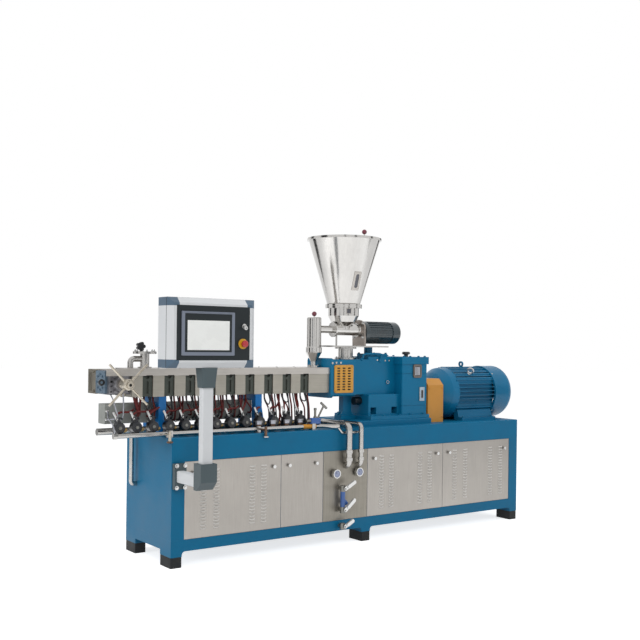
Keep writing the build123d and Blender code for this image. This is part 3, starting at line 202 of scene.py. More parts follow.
frame_blue = finish("frame_blue", "#0B688F", 0.42, edge_wear_and_highlight=0.4, worn_and_lit_colour="#4C8DAE", grime=0.1, specular=0.2)
machine_blue = finish(
    "machine_blue", "#086E96", 0.34, coat=0.03, mottle=0.05, bump=0.16, bump_scale=70, edge_wear_and_highlight=0.35,
    worn_and_lit_colour="#4F94B8", grime=0.08, specular=0.22
)
motor_blue = finish(
    "motor_blue", "#0D6A92", 0.32, coat=0.05, mottle=0.07, bump=0.14, bump_scale=90, edge_wear_and_highlight=0.45,
    worn_and_lit_colour="#5AA0C2", grime=0.12, specular=0.25
)
stand_blue = finish(
    "stand_blue", "#0D6FB4", 0.36, coat=0.15, bump=0.12, bump_scale=70, edge_wear_and_highlight=0.4, worn_and_lit_colour="#4F94C8",
    grime=0.06, specular=0.3
)
foot_black = finish(
    "foot_black", "#191B1D", 0.6, mottle=0.12, bump=0.2, edge_wear_and_highlight=0.3, worn_and_lit_colour="#56585A", grime=0.2,
    dirt="#5A554C", specular=0.3
)
panel_steel = finish(
    "panel_steel", "#A9A49E", 0.34, metal=0.8, mottle=0.1, mottle_scale=1.7, grain=BRUSHED_UP,
    grain_amount=0.14, bump=0.03, edge_wear_and_highlight=0.3, worn_and_lit_colour="#D8D5CF", grime=0.1, dirt="#7A756C"
)
# Paler copy of the panel steel: painted highlight on the louvre lips where they catch the light.
louvre_lit_steel = finish(
    "louvre_lit_steel", "#CDCAC5", 0.32, metal=0.4, mottle_scale=8, bump=0.03, edge_wear_and_highlight=0.3, worn_and_lit_colour="#F4F3F0",
    grime=0.06, dirt="#9A968E"
)
bay_steel = finish(
    "bay_steel", "#938E84", 0.38, metal=0.7, mottle=0.1, mottle_scale=2.2, grain=BRUSHED_UP,
    grain_amount=0.16, bump=0.03, grime=0.25, dirt="#5D5A50"
)
cover_steel = finish(
    "cover_steel", "#ABA69B", 0.42, metal=0.5, mottle=0.08, grain=BRUSHED_ALONG_X, grain_scale=240,
    bump=0.03, edge_wear_and_highlight=0.5, worn_and_lit_colour="#D2CEC4", grime=0.2, dirt="#7B7465"
)
tray_steel = finish(
    "tray_steel", "#BEB9B3", 0.36, metal=0.6, mottle=0.07, grain=BRUSHED_ALONG_X, grain_scale=240,
    grain_amount=0.1, bump=0.03, edge_wear_and_highlight=0.5, worn_and_lit_colour="#E2DFD8", grime=0.16, dirt="#8F8676"
)
stainless = finish(
    "stainless", "#B4B2AF", 0.24, metal=1, mottle=0.08, mottle_scale=12, bump=0.04, edge_wear_and_highlight=0.3,
    worn_and_lit_colour="#E6E6E6", grime=0.15, dirt="#77716A"
)
changer_steel = finish(
    "changer_steel", "#87868A", 0.34, metal=0.75, mottle=0.16, mottle_scale=16, bump=0.08, edge_wear_and_highlight=0.5,
    worn_and_lit_colour="#C2C0C4", grime=0.35, dirt="#4E4C50"
)
polished_steel = finish(
    "polished_steel", "#C6C4C1", 0.14, metal=1, mottle_scale=4, grain=BRUSHED_UP, grain_scale=60,
    grain_amount=0.08, bump=0.02, edge=0.001
)
barrel_steel = finish(
    "barrel_steel", "#474C46", 0.48, metal=0.5, mottle=0.2, mottle_scale=20, bump=0.1, edge_wear_and_highlight=0.5,
    worn_and_lit_colour="#8D897E", grime=0.35, dirt="#24231E"
)
die_steel = finish(
    "die_steel", "#64798A", 0.34, metal=0.4, mottle=0.12, mottle_scale=22, bump=0.06, edge_wear_and_highlight=0.6,
    worn_and_lit_colour="#AEBBC6", grime=0.3, dirt="#33414E"
)
die_block_steel = finish(
    "die_block_steel", "#7D786C", 0.36, metal=0.7, mottle=0.16, mottle_scale=18, bump=0.06, edge_wear_and_highlight=0.6,
    worn_and_lit_colour="#BDB9AE", grime=0.35, dirt="#453C30"
)
wireway_grey = finish(
    "wireway_grey", "#959894", 0.48, metal=0.35, mottle=0.1, mottle_scale=8, bump=0.06, edge_wear_and_highlight=0.4,
    worn_and_lit_colour="#C4C6C2", grime=0.3, dirt="#55514A"
)
burgundy = finish("burgundy", "#6E2033", 0.2, coat=0.5, bump=0.02)
cast_aluminium = finish(
    "cast_aluminium", "#A39A93", 0.36, metal=0.8, mottle=0.12, mottle_scale=14, bump=0.25, bump_scale=320,
    grime=0.2, dirt="#6A5B50"
)
feeder_paint = finish(
    "feeder_paint", "#1B2E35", 0.24, coat=0.5, mottle=0.16, bump=0.08, edge_wear_and_highlight=0.4, worn_and_lit_colour="#4C6A74"
)
guard_orange = finish(
    "guard_orange", "#C78A38", 0.36, coat=0.15, bump=0.06, edge_wear_and_highlight=0.5, worn_and_lit_colour="#DDB068", grime=0.12,
    dirt="#7A5A2E", specular=0.35
)
grille_orange = finish(
    "grille_orange", "#D69C42", 0.36, coat=0.15, mottle=0.05, bump=0.06, edge_wear_and_highlight=0.5, worn_and_lit_colour="#E6BE7C",
    grime=0.08, dirt="#8A6A3E", specular=0.35
)
arm_grey = finish(
    "arm_grey", "#4E5A5E", 0.5, mottle=0.07, bump=0.25, bump_scale=500, edge_wear_and_highlight=0.4, worn_and_lit_colour="#7E8D93",
    specular=0.3
)
profile_white = finish(
    "profile_white", "#D6D8DA", 0.42, mottle=0.03, bump_scale=400, edge_wear_and_highlight=0.2, worn_and_lit_colour="#F2F2F2", grime=0.06,
    dirt="#A8A59E", specular=0.3
)
corner_grey = finish(
    "corner_grey", "#536779", 0.42, bump=0.2, bump_scale=600, edge_wear_and_highlight=0.3, worn_and_lit_colour="#8093A3", specular=0.3
)
panel_black = finish("panel_black", "#1A2124", 0.42, mottle=0.08, bump=0.1, bump_scale=800, specular=0.3)
knob_black = finish("knob_black", "#15171A", 0.3, coat=0.4, mottle=0.1, bump=0.06, edge_wear_and_highlight=0.3, worn_and_lit_colour="#4A4D50")
bright_metal = finish(
    "bright_metal", "#C6C6C5", 0.22, metal=1, mottle_scale=25, bump=0.03, edge_wear_and_highlight=0.3, worn_and_lit_colour="#F2F2F2",
    grime=0.12, dirt="#7A6F60"
)
warm_metal = finish(
    "warm_metal", "#B9B1A3", 0.26, metal=0.9, mottle=0.1, mottle_scale=30, bump=0.04, edge_wear_and_highlight=0.4,
    worn_and_lit_colour="#EDE7D8", grime=0.22, dirt="#6E5F48"
)
galvanised = finish(
    "galvanised", "#86857F", 0.42, metal=0.8, mottle=0.18, mottle_scale=30, bump=0.12, bump_scale=240,
    edge_wear_and_highlight=0.3, grime=0.3, dirt="#4E4A42"
)
valve_grey = finish(
    "valve_grey", "#4C4D52", 0.36, metal=0.6, mottle=0.2, mottle_scale=40, bump=0.1, edge_wear_and_highlight=0.6,
    worn_and_lit_colour="#C6C8CC", grime=0.35, dirt="#3A3838"
)
brass_body = finish(
    "brass_body", "#9A8052", 0.34, metal=0.85, mottle=0.16, mottle_scale=40, bump=0.1, edge_wear_and_highlight=0.5,
    worn_and_lit_colour="#D0BC8A", grime=0.3, dirt="#4B4234"
)
bronze = finish(
    "bronze", "#6E5545", 0.4, metal=0.7, mottle=0.18, mottle_scale=40, bump=0.1, edge_wear_and_highlight=0.5, worn_and_lit_colour="#B98E6A",
    grime=0.3, dirt="#33261C"
)
coil_black = finish(
    "coil_black", "#181A1F", 0.36, coat=0.3, mottle=0.16, bump=0.15, edge_wear_and_highlight=0.4, worn_and_lit_colour="#5A5D68", grime=0.1,
    dirt="#3A4048"
)
lead_brown = finish(
    "lead_brown", "#6E2A28", 0.7, mottle=0.2, mottle_scale=60, grain=(1, 1, 1), grain_scale=900,
    grain_amount=0.35, bump=0.5
)
lead_grey = finish(
    "lead_grey", "#3A3B3E", 0.6, mottle=0.2, mottle_scale=60, grain=(1, 1, 1), grain_scale=900,
    grain_amount=0.3, bump=0.4
)
hose_silver = finish(
    "hose_silver", "#A9ABB3", 0.34, metal=0.75, mottle=0.14, mottle_scale=50, bump=0.3, bump_scale=700,
    grime=0.2, dirt="#5A5B62"
)
bezel_grey = finish(
    "bezel_grey", "#7C8391", 0.4, mottle=0.04, bump=0.08, bump_scale=700, edge_wear_and_highlight=0.3, worn_and_lit_colour="#A4AAB5",
    specular=0.3
)
sight_grey = finish(
    "sight_grey", "#6F665F", 0.4, metal=0.3, mottle=0.1, mottle_scale=30, bump=0.1, edge_wear_and_highlight=0.4,
    worn_and_lit_colour="#A49C92", grime=0.2
)
# Near black for seams, cards and the level slot, and for painted shade in slits, holes, a hollow and under
# the tray's lip.
gap_and_shade_black = finish("gap_and_shade_black", "#0D0F11", 0.7, mottle=0.1)
smoked_glass = finish("smoked_glass", "#4A4B54", 0.16, coat=0.6, mottle=0.08, bump=0.01)
valve_blue = finish("valve_blue", "#2F5CA0", 0.3, coat=0.3, mottle=0.1, bump=0.1, grime=0.12)
pale_blue = finish("pale_blue", "#A9BCCB", 0.3, coat=0.3, mottle=0.05, bump=0.02)
dial_lilac = finish("dial_lilac", "#8C95B4", 0.22, coat=0.7, bump=0.01)
dial_white = finish("dial_white", "#D9DCE4", 0.25, coat=0.6, mottle=0.03, bump=0.01)
sign_yellow = finish("sign_yellow", "#C98A2E", 0.4, mottle=0.08, bump=0.02, grime=0.2, dirt="#7A4A20")
stop_yellow = finish("stop_yellow", "#D6A21C", 0.35, coat=0.2, mottle=0.04)
stop_red = finish("stop_red", "#B2202A", 0.25, coat=0.4, mottle=0.05, bump=0.03)
# Pale colour standing in for the screen's own light: painted glow.
screen_glow_white = finish(
    "screen_glow_white", "#F4F5F2", 0.3, coat=0.2, mottle=0.035, mottle_scale=7, bump=0, specular=0.3
)

node_finish = {
    frame_blue: "base_deck base_plinth base_posts gearbox_bed",
    machine_blue: "gearbox_housing lantern_housing lantern_leg top_hatch",
    motor_blue: "drive_motor motor_fan_cover terminal_box",
    stand_blue: "barrel_stands",
    foot_black: "machine_feet",
    panel_steel: "cover_panels",
    knob_black: "filler_cap vent_handle oil_pump",
    guard_orange: "coupling_guard",
    grille_orange: "lantern_grilles",
    stainless: "feeder_throat feeder_plate vent_port supply_pipe return_pipe",
    changer_steel: "screen_changer",
    wireway_grey: "wireway",
    polished_steel: "feeder_body hopper hopper_lid drop_pipe",
    burgundy: "ball_knobs",
    cast_aluminium: "feeder_gearcase",
    feeder_paint: "feeder_motor",
    barrel_steel: "barrel",
    cover_steel: "barrel_covers",
    tray_steel: "barrel_tray",
    die_steel: "die_plate",
    die_block_steel: "die_block",
    arm_grey: "arm_fittings pendant_head",
    profile_white: "arm_tubes pendant_case",
    corner_grey: "pendant_corners",
    panel_black: "pendant_front_plate",
    bezel_grey: "touch_screen",
    sight_grey: "gearbox_gauges",
    stop_yellow: "emergency_stop",
    bright_metal: "key_switch panel_knobs flow_gauges valve_lever_high valve_lever_mid valve_lever_low",
    warm_metal: "capstan_handle",
    galvanised: "panel_valves",
    coil_black: "valve_coils",
    lead_brown: "sensor_leads",
    lead_grey: "coil_leads",
    valve_blue: "water_strainer",
}
for material, names in node_finish.items():
    for name in names.split():
        mesh = nodes[name].data
        mesh.materials.clear()
        mesh.materials.append(material)

# Meshes built in code


def across_of(axis):
    """Two directions square to an axis."""
    side = axis.orthogonal().normalized()
    if abs(axis.x) < 0.9:
        side = (RIGHT - axis * axis.dot(RIGHT)).normalized()
    return side, axis.cross(side)


def swing(side, up, angle):
    """Direction at an angle from one side towards another."""
    return side * math.cos(angle) + up * math.sin(angle)


def skin(mesh, rings):
    """Joins rings of equally many points with faces."""
    for low, high in zip(rings, rings[1:]):
        for k in range(len(low)):
            mesh.faces.new([low[k], low[(k + 1) % len(low)], high[(k + 1) % len(high)], high[k]])


def turn(mesh, centre, axis, outline, steps=24):
    """Adds an outline of (radius, height) points turned about an axis."""
    side, up = across_of(axis)
    rings = []
    for radius, height in outline:
        middle = centre + axis * height
        if radius == 0:
            rings.append([mesh.verts.new(middle)])
            continue
        rings.append([mesh.verts.new(middle + swing(side, up, a) * radius) for a in around(steps)])
    for low, high in zip(rings, rings[1:]):
        for k in range(steps):
            after = (k + 1) % steps
            corners = [low[k % len(low)], low[after % len(low)], high[after % len(high)], high[k % len(high)]]
            kept = list(dict.fromkeys(corners))
            if len(kept) > 2:
                mesh.faces.new(kept)


def disc(mesh, centre, axis, radius, height, steps=24, bevel=None):
    """Adds a round block, or a hexagonal one with six steps, its far edge bevelled by (inset, drop)."""
    rim = [(radius, height)]
    if bevel:
        rim = [(radius, height - bevel[1]), (radius - bevel[0], height)]
    turn(mesh, centre, axis, [(0, 0), (radius, 0), *rim, (0, height)], steps)


def cup(mesh, centre, axis, radius, height, bevel, hollow, floor, steps=28):
    """Adds a round boss with a bevelled rim and a hollow of a given radius and floor height."""
    outline = [(0, 0), (radius, 0), (radius, height - bevel[1]), (radius - bevel[0], height),
               (hollow, height), (hollow, floor), (0, floor)]
    turn(mesh, centre, axis, outline, steps)


def bar(mesh, low, high):
    """Adds a box between two corners."""
    made = bmesh.ops.create_cube(mesh, size=1)["verts"]
    middle = (low + high) / 2
    size = high - low
    for vert in made:
        vert.co = middle + Vector((vert.co.x * size.x, vert.co.y * size.y, vert.co.z * size.z))


def rod(mesh, start, end, radius, steps=14, tip=0.001):
    """Adds a round rod between two points, with bevelled ends."""
    axis = end - start
    length = axis.length
    outline = [(0, 0), (radius - tip, 0), (radius, tip), (radius, length - tip), (radius - tip, length),
               (0, length)]
    turn(mesh, start, axis.normalized(), outline, steps)


def curve_point(before, start, end, after, t):
    """Point between start and end of a smooth curve that also minds the points beside them."""
    return 0.5 * (2 * start + (end - before) * t
                  + (2 * before - 5 * start + 4 * end - after) * t * t
                  + (3 * start - before - 3 * end + after) * t * t * t)


def hose(mesh, points, radius, steps=10, spans=6):
    """Adds a bent hose that runs smoothly through its points."""
    path = []
    last = len(points) - 1
    for i in range(last):
        near = points[max(i - 1, 0)], points[i], points[i + 1], points[min(i + 2, last)]
        path += [curve_point(*near, k / spans) for k in range(spans)]
    path.append(points[last])
    side = (path[1] - path[0]).orthogonal().normalized()
    rings = []
    for i, place in enumerate(path):
        way = (path[min(i + 1, len(path) - 1)] - path[max(i - 1, 0)]).normalized()
        side = (side - way * side.dot(way)).normalized()
        up = way.cross(side)
        rings.append([mesh.verts.new(place + swing(side, up, a) * radius) for a in around(steps)])
    skin(mesh, rings)
    mesh.faces.new(rings[0])
    mesh.faces.new(rings[-1])


def lay(mesh, radius, *places, **sizes):
    """Adds a lead or hose through places given in millimetres."""
    hose(mesh, [machine(*place) for place in places], radius, **sizes)


def torus(mesh, centre, axis, radius, thickness, steps=28, sides=10):
    """Adds a round ring about an axis."""
    side, up = across_of(axis)
    rings = []
    for a in around(steps):
        out = swing(side, up, a)
        rings.append([mesh.verts.new(centre + out * (radius + thickness * math.cos(b))
                                     + axis * thickness * math.sin(b)) for b in around(sides)])
    skin(mesh, rings + rings[:1])


def slab(mesh, centre, width, height, depth, bevel=0, right=RIGHT, up=UP):
    """Adds a plate about its middle, made apart so that each run gives the same order of faces."""
    out = right.cross(up).normalized()
    plate = bmesh.new()
    bmesh.ops.create_cube(plate, size=1)
    for vert in plate.verts:
        flat = vert.co.copy()
        vert.co = centre + right * flat.x * width + up * flat.y * height + out * flat.z * depth
    if bevel:
        bmesh.ops.bevel(plate, geom=plate.edges[:], offset=bevel, segments=2, profile=0.5, affect="EDGES")
    data = bpy.data.meshes.new("plate")
    plate.to_mesh(data)
    plate.free()
    mesh.from_mesh(data)
    bpy.data.meshes.remove(data)


def hex_screw(mesh, place, axis, radius=0.006, height=0.005):
    """Adds a hexagon screw head with a washer."""
    washer = 0.0012
    turn(mesh, place, axis, [(0, 0), (radius * 1.45, 0), (radius * 1.45, washer), (radius, washer)], 16)
    head = [(radius, 0.001), (radius, height * 0.85), (radius * 0.86, height), (0, height)]
    turn(mesh, place, axis, head, 6)


def cap_screw(mesh, place, axis, radius=0.005, height=0.005):
    """Adds a round socket screw head with its hollow."""
    cup(mesh, place, axis, radius, height, (radius * 0.15, height * 0.2), radius * 0.5, height * 0.45, 14)


def show(name, data):
    """New object in the scene that shows a mesh, lamp or camera."""
    made = bpy.data.objects.new(name, data)
    bpy.context.scene.collection.objects.link(made)
    return made


def piece(name, mesh, material, body="machine", smooth=True):
    """Turns a built mesh into an object that rides on a body."""
    bmesh.ops.recalc_face_normals(mesh, faces=mesh.faces)
    data = bpy.data.meshes.new(name)
    mesh.to_mesh(data)
    mesh.free()
    data.materials.append(material)
    made = show(name, data)
    if smooth:
        data.shade_smooth()
        data.set_sharp_from_angle(angle=math.radians(32))
    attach(made, body)
    return made


def single(name, material, slot, shape, *values, body="machine", smooth=True, **sizes):
    """One piece made of one shape."""
    mesh = bmesh.new()
    shape(mesh, *values, **sizes)
    return piece(name, mesh, material, body, smooth)


def screws(name, places, axis, material=bright_metal, slot="bright_metal", head=hex_screw, **sizes):
    """One piece made of many like screws."""
    mesh = bmesh.new()
    for place in places:
        head(mesh, place, axis, **sizes)
    piece(name, mesh, material)


# Louvres of three cover panels, front and back, in metres: lips in a paler steel as painted highlight, dark
# bars below them as painted shade in the openings
louvre_length = 0.041
louvre_height = 0.009
louvre_rise = 0.0085
louvre_lift = 0.0004
louvre_rows = 18
louvre_pitch = 0.0205
louvre_top = 0.569
louvre_columns = (213, 302, 555, 639, 1592, 1680, 1944, 2037, 2282, 2389, 2650, 2760)
slit_height = 0.002
slit_depth = 0.0004
slit_share = 0.44
panel_depth = 0.622


def louvre(mesh, place, outward):
    """Adds one pressed louvre: a half lens that opens downward."""
    steps = 8
    bands = 3
    rows = []
    for j in range(bands + 1):
        drop = j / bands
        row = []
        for i in range(steps + 1):
            along = -1 + 2 * i / steps
            arch = math.sqrt(1 - along * along)
            rise = louvre_rise * arch * math.sin(math.pi / 2 * drop) + louvre_lift
            row.append(mesh.verts.new(place + RIGHT * (along * louvre_length / 2)
                                      + outward * rise - UP * (louvre_height * drop)))
        rows.append(row)
    rows.append([mesh.verts.new(v.co - outward * (v.co - place).dot(outward)) for v in rows[-1]])
    for above, below in zip(rows, rows[1:]):
        for i in range(steps):
            mesh.faces.new([above[i], above[i + 1], below[i + 1], below[i]])


louvres = bmesh.new()
slit_shade = bmesh.new()
for x in louvre_columns:
    for row in range(louvre_rows):
        for outward, depth in ((TO_VIEWER, front), (BACK, front + panel_depth)):
            place = at_depth(x, depth, 0)
            place.z = louvre_top - row * louvre_pitch
            louvre(louvres, place, outward)
            # Dark bar under the lip: painted shade in the louvre's opening.
            low = place - UP * (louvre_height + slit_height)
            reach = RIGHT * louvre_length * slit_share + BACK * slit_depth
            bar(slit_shade, low - reach, low + reach + UP * slit_height)
piece("panel_louvres", louvres, louvre_lit_steel)
piece("louvre_slit_shade", slit_shade, gap_and_shade_black, smooth=False)

# Touch screen: dark glass, and a pale picture area whose colour is the lit screen's glow painted in
screen_low, screen_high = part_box("touch_screen")
glass_border = 0.019
glass_top_border = 0.012
glass_front, glass_back = screen_low.y - 0.0004, screen_low.y + 0.0018
single("screen_glass", panel_black, "screen_frame", bar,
       Vector((screen_low.x + glass_border, glass_front, screen_low.z + glass_border)),
       Vector((screen_high.x - glass_border, glass_back, screen_high.z - glass_top_border)),
       body="pendant", smooth=False)
picture_border = 0.034
picture_low, picture_high = screen_low.z + 0.030, screen_low.z + 0.192
picture_front = screen_low.y - 0.0008
single("screen_picture", screen_glow_white, "profile_white", bar,
       Vector((screen_low.x + picture_border, picture_front, picture_low)),
       Vector((screen_high.x - picture_border, screen_low.y, picture_high)),
       body="pendant", smooth=False)

# Emergency stop: yellow collar and red mushroom button
stop_low, stop_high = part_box("emergency_stop")
stop_centre = (stop_low + stop_high) / 2
stop_centre.y = stop_high.y
collar_piece = single("stop_collar", stop_yellow, "signal_red", disc, stop_centre, TO_VIEWER, radius=0.029,
                      height=0.006, steps=40, bevel=(0.002, 0.002), body="pendant")
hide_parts("emergency_stop")
mushroom = [(0, 0.005), (0.013, 0.005), (0.013, 0.018), (0.017, 0.0195), (0.020, 0.023), (0.020, 0.029),
            (0.017, 0.0325), (0.010, 0.034), (0, 0.034)]
single("stop_button", stop_red, "signal_red", turn, stop_centre, TO_VIEWER, mushroom, steps=40,
       body="pendant")

# Flow gauges: dial, ring, nine marks and a needle made of dots
gauge_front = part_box("flow_gauges")[0].y
gauge_z = 474
first_mark, mark_turn, mark_radius = -130, 32.5, 0.0185
mark_half = Vector((0.0009, 0.0002, 0.0009))
needle_angle = -0.7
needle_half = Vector((0.0011, 0.0002, 0.0011))
for number, x in enumerate((1184, 1374)):
    gauge = at_depth(x, gauge_front, gauge_z)
    dial = bmesh.new()
    disc(dial, gauge + BACK * 0.0028, TO_VIEWER, radius=0.0225, height=0.0006, steps=32)
    torus(dial, gauge + BACK * 0.002, BACK, radius=0.0205, thickness=0.0024)
    piece(f"gauge_dial_{number}", dial, dial_lilac)
    marks = bmesh.new()
    for tick in range(9):
        slope = math.radians(first_mark + tick * mark_turn)
        ray = swing(UP, RIGHT, slope)
        spot = gauge + BACK * 0.002 + ray * mark_radius
        bar(marks, spot - mark_half, spot + mark_half)
    ray = swing(UP, RIGHT, needle_angle)
    for step in range(7):
        spot = gauge + BACK * 0.0016 + ray * (0.002 + step * 0.002)
        bar(marks, spot - needle_half, spot + needle_half)
    piece(f"gauge_marks_{number}", marks, panel_black, smooth=False)

# Valve bay cover: a darker sheet over the bay's own panel
single("bay_sheet", bay_steel, "panel_steel", bar,
       at_depth(1099, front - 0.0012, 164), at_depth(1464, front + 0.0002, 619), smooth=False)

# Hopper, in metres: sight plate and its glass, rolled rim and weld
hopper_low, hopper_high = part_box("hopper")
hopper_middle = (hopper_low + hopper_high) / 2
hopper_middle.z = 0
hopper_foot_z, hopper_foot_radius = 1.605, 0.116
hopper_top_z, hopper_top_radius = 2.052, 0.250
hopper_slope = (hopper_top_radius - hopper_foot_radius) / (hopper_top_z - hopper_foot_z)


def on_cone(across, z, lift):
    """Point on the hopper's outside at a distance across and a height, lifted off the sheet."""
    radius = hopper_foot_radius + (z - hopper_foot_z) * hopper_slope + lift
    angle = across / radius
    return hopper_middle + Vector((math.sin(angle) * radius, -math.cos(angle) * radius, z))


def rounded(width, height, corner_radius, steps=9):
    """Outline of a rectangle with round corners, counted from its upper right corner."""
    outline = []
    for quarter, (sx, sz) in enumerate(((1, 1), (-1, 1), (-1, -1), (1, -1))):
        for k in range(steps):
            a = math.pi / 2 * (quarter + k / (steps - 1))
            outline.append((sx * (width / 2 - corner_radius) + corner_radius * math.cos(a),
                            sz * (height / 2 - corner_radius) + corner_radius * math.sin(a)))
    return outline


sight_across, sight_z = -0.014, 1.762
plate_back, plate_face, pane_lift = 0.0004, 0.0034, 0.0008
plate_outline = rounded(0.058, 0.128, 0.004)
slot_outline = rounded(0.026, 0.094, 0.0129)
pane_outline = rounded(0.0275, 0.0955, 0.0135)
sight = bmesh.new()
layers = []
for outline, lift in ((plate_outline, plate_back), (plate_outline, plate_face),
                      (slot_outline, plate_face), (slot_outline, plate_back)):
    layers.append([sight.verts.new(on_cone(sight_across + dx, sight_z + dz, lift)) for dx, dz in outline])
skin(sight, layers)
piece("sight_plate", sight, tray_steel)
pane = bmesh.new()
pane.faces.new([pane.verts.new(on_cone(sight_across + dx, sight_z + dz, pane_lift))
                for dx, dz in pane_outline])
piece("sight_pane", pane, smoked_glass, smooth=False)
single("hopper_bead", polished_steel, "polished_steel", torus, hopper_middle + UP * 2.0585, UP,
       radius=0.2565, thickness=0.0048, steps=96)
weld_lean, weld_start = 0.24, 1.3
weld = [on_cone(weld_lean * (z - weld_start), z, 0.0003) for z in (1.606, 1.75, 1.9, 2.05)]
single("hopper_weld", polished_steel, "polished_steel", hose, weld, radius=0.0016, steps=6)

# Bowl window, a small dark pane in a frame
bowl_way = Vector((-0.298, -0.955, 0)).normalized()
bowl_right = bowl_way.cross(UP).normalized()
bowl_place = hopper_middle + bowl_way * 0.1085 + UP * 1.556
single("bowl_frame", tray_steel, "polished_steel", slab, bowl_place,
       width=0.036, height=0.038, depth=0.005, bevel=0.001, right=bowl_right)
single("bowl_window", smoked_glass, "gauge_face", slab, bowl_place + bowl_way * 0.0022,
       width=0.028, height=0.030, depth=0.0022, bevel=0.0004, right=bowl_right)

# Feeder fasteners and beads: gear plate, throat and drop pipe
plate_screws = [machine(1622, axis_y + sy * 50, 1427 + sz * 50) for sy in (-1, 1) for sz in (-1, 1)]
screws("gear_plate_screws", plate_screws, -RIGHT, radius=0.0085, height=0.007)
throat_screws = ring_places(1507, axis_y, 1232, radius=64, count=6, start=0.2)
screws("throat_screws", throat_screws, UP, radius=0.0065, height=0.006)
drop_x = 1232
drop_screws = ring_places(drop_x, axis_y, 1177, radius=33, count=4, start=0.5)
screws("drop_pipe_screws", drop_screws, UP, radius=0.005, height=0.005)
beads = bmesh.new()
for z in (1300, 1268):
    torus(beads, machine(drop_x, axis_y, z), UP, radius=0.0548, thickness=0.0014, steps=48, sides=8)
torus(beads, machine(1485, axis_y, 1591), UP, radius=0.1285, thickness=0.0022, steps=64, sides=8)
piece("feeder_beads", beads, polished_steel)

# Gearbox trim: oil line, plug ring, screws, sight glass and level plate
oil_line = bmesh.new()
lay(oil_line, 0.0065, (1580, 236, 1216), (1580, 206, 1232), (1592, 203, 1257), (1722, 203, 1261),
    (1742, 204, 1248), (1744, 219, 1212), spans=7)
for x, z in ((1580, 1222), (1744, 1212)):
    disc(oil_line, machine(x, 219, z), TO_VIEWER, radius=0.012, height=0.010, steps=12, bevel=(0.003, 0.004))
piece("oil_line", oil_line, machine_blue)
single("plug_ring", bright_metal, "bright_metal", torus, machine(1812, 208.5, 1058), BACK,
       radius=0.0115, thickness=0.0022, steps=24, sides=8)
face_screws = [machine(1288, 174, 1196), machine(1327, 183, 1198), machine(1365, 183, 1198)]
screws("grille_top_screws", face_screws, TO_VIEWER, head=cap_screw, radius=0.008, height=0.007)
hatch_screws = [machine(1718, 218, 1216), machine(1791, 218, 1212), machine(1829, 218, 1212)]
screws("hatch_face_screws", hatch_screws, TO_VIEWER, head=cap_screw, radius=0.0065, height=0.005)
grille_low, grille_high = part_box("lantern_grilles")
grille_inset = 0.012
corner_screws = [Vector((x, grille_low.y, z))
                 for x in (grille_low.x + grille_inset, grille_high.x - grille_inset)
                 for z in (grille_low.z + grille_inset, grille_high.z - grille_inset)]
screws("grille_screws", corner_screws, TO_VIEWER, grille_orange, "guard_orange", head=cap_screw,
       radius=0.005, height=0.003)
top_screws = both_sides((1900, 1960, 2040, 2100), 175, 1240) + both_sides((1680, 1820), 66, 1260)
screws("gearbox_top_screws", top_screws, UP, machine_blue, "machine_blue", radius=0.0085, height=0.008)
bed_screws = both_sides((1595, 1700, 1850, 1960, 2080), 196, 826) + both_sides((1457, 1558), 20, 826)
screws("bed_screws", bed_screws, UP, machine_blue, "machine_blue", radius=0.008, height=0.008)

gearbox_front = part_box("gearbox_gauges")[1].y
sight_glass = at_depth(2019, gearbox_front - 0.0068, 1138)
single("sight_back", smoked_glass, "gauge_face", slab, sight_glass, width=0.048, height=0.066, depth=0.0012)
tube_pitch, tube_half = 0.012, UP * 0.029
tubes = bmesh.new()
for k in range(4):
    spot = sight_glass + RIGHT * (tube_pitch * (k - 1.5)) - BACK * 0.0005
    rod(tubes, spot - tube_half, spot + tube_half, radius=0.003, steps=10, tip=0.0005)
piece("sight_tubes", tubes, dial_white)
single("level_plate", pale_blue, "gauge_face", slab, at_depth(2066, gearbox_front - 0.0056, 972),
       width=0.047, height=0.099, depth=0.0012, bevel=0.0004)
single("level_slot", gap_and_shade_black, "knob_black", slab, at_depth(2066, gearbox_front - 0.0112, 972),
       width=0.008, height=0.046, depth=0.001, smooth=False)

# Motor trim: lifting ring, feet bolts, bell bolts and cover screws
motor_z = 968
cover_radius = 0.1995
ring_way = Vector((0, -0.652, 0.758)).normalized()
ring_seat = machine(2600, axis_y, motor_z) + ring_way * 0.190
ring_face = Vector((-0.587, -0.81, 0))
ring_face = (ring_face - ring_way * ring_face.dot(ring_way)).normalized()
ring_foot = [(0, 0), (0.014, 0), (0.014, 0.004), (0.009, 0.009), (0.009, 0.014), (0, 0.014)]
lift_ring = bmesh.new()
turn(lift_ring, ring_seat, ring_way, ring_foot, steps=20)
torus(lift_ring, ring_seat + ring_way * 0.031, ring_face, radius=0.0215, thickness=0.0068)
piece("lifting_ring", lift_ring, bright_metal)
feet_bolts = both_sides((2492, 2790), 183, 785)
screws("motor_feet_bolts", feet_bolts, UP, motor_blue, "motor_blue", radius=0.010, height=0.010)
bell_radius, bell_sink = 0.183, RIGHT * 0.004
bell_bolts = [machine(2440, axis_y, motor_z) - bell_sink + swing(BACK, UP, a + math.pi / 6) * bell_radius
              for a in around(6)]
screws("bell_bolts", bell_bolts, -RIGHT, motor_blue, "motor_blue", radius=0.009, height=0.012)
for k, a in enumerate(around(4)):
    way = swing(BACK, UP, a + math.pi / 4)
    single(f"cover_screw_{k}", bright_metal, "bright_metal", cap_screw,
           machine(2838, axis_y, motor_z) + way * cover_radius, way, radius=0.006, height=0.004)
ribs = bmesh.new()
torus(ribs, machine(2825, axis_y, motor_z), RIGHT, cover_radius, thickness=0.0022, steps=96, sides=8)
torus(ribs, machine(2964, axis_y, motor_z), RIGHT, radius=0.199, thickness=0.0016, steps=96, sides=8)
piece("fan_cover_beads", ribs, motor_blue)

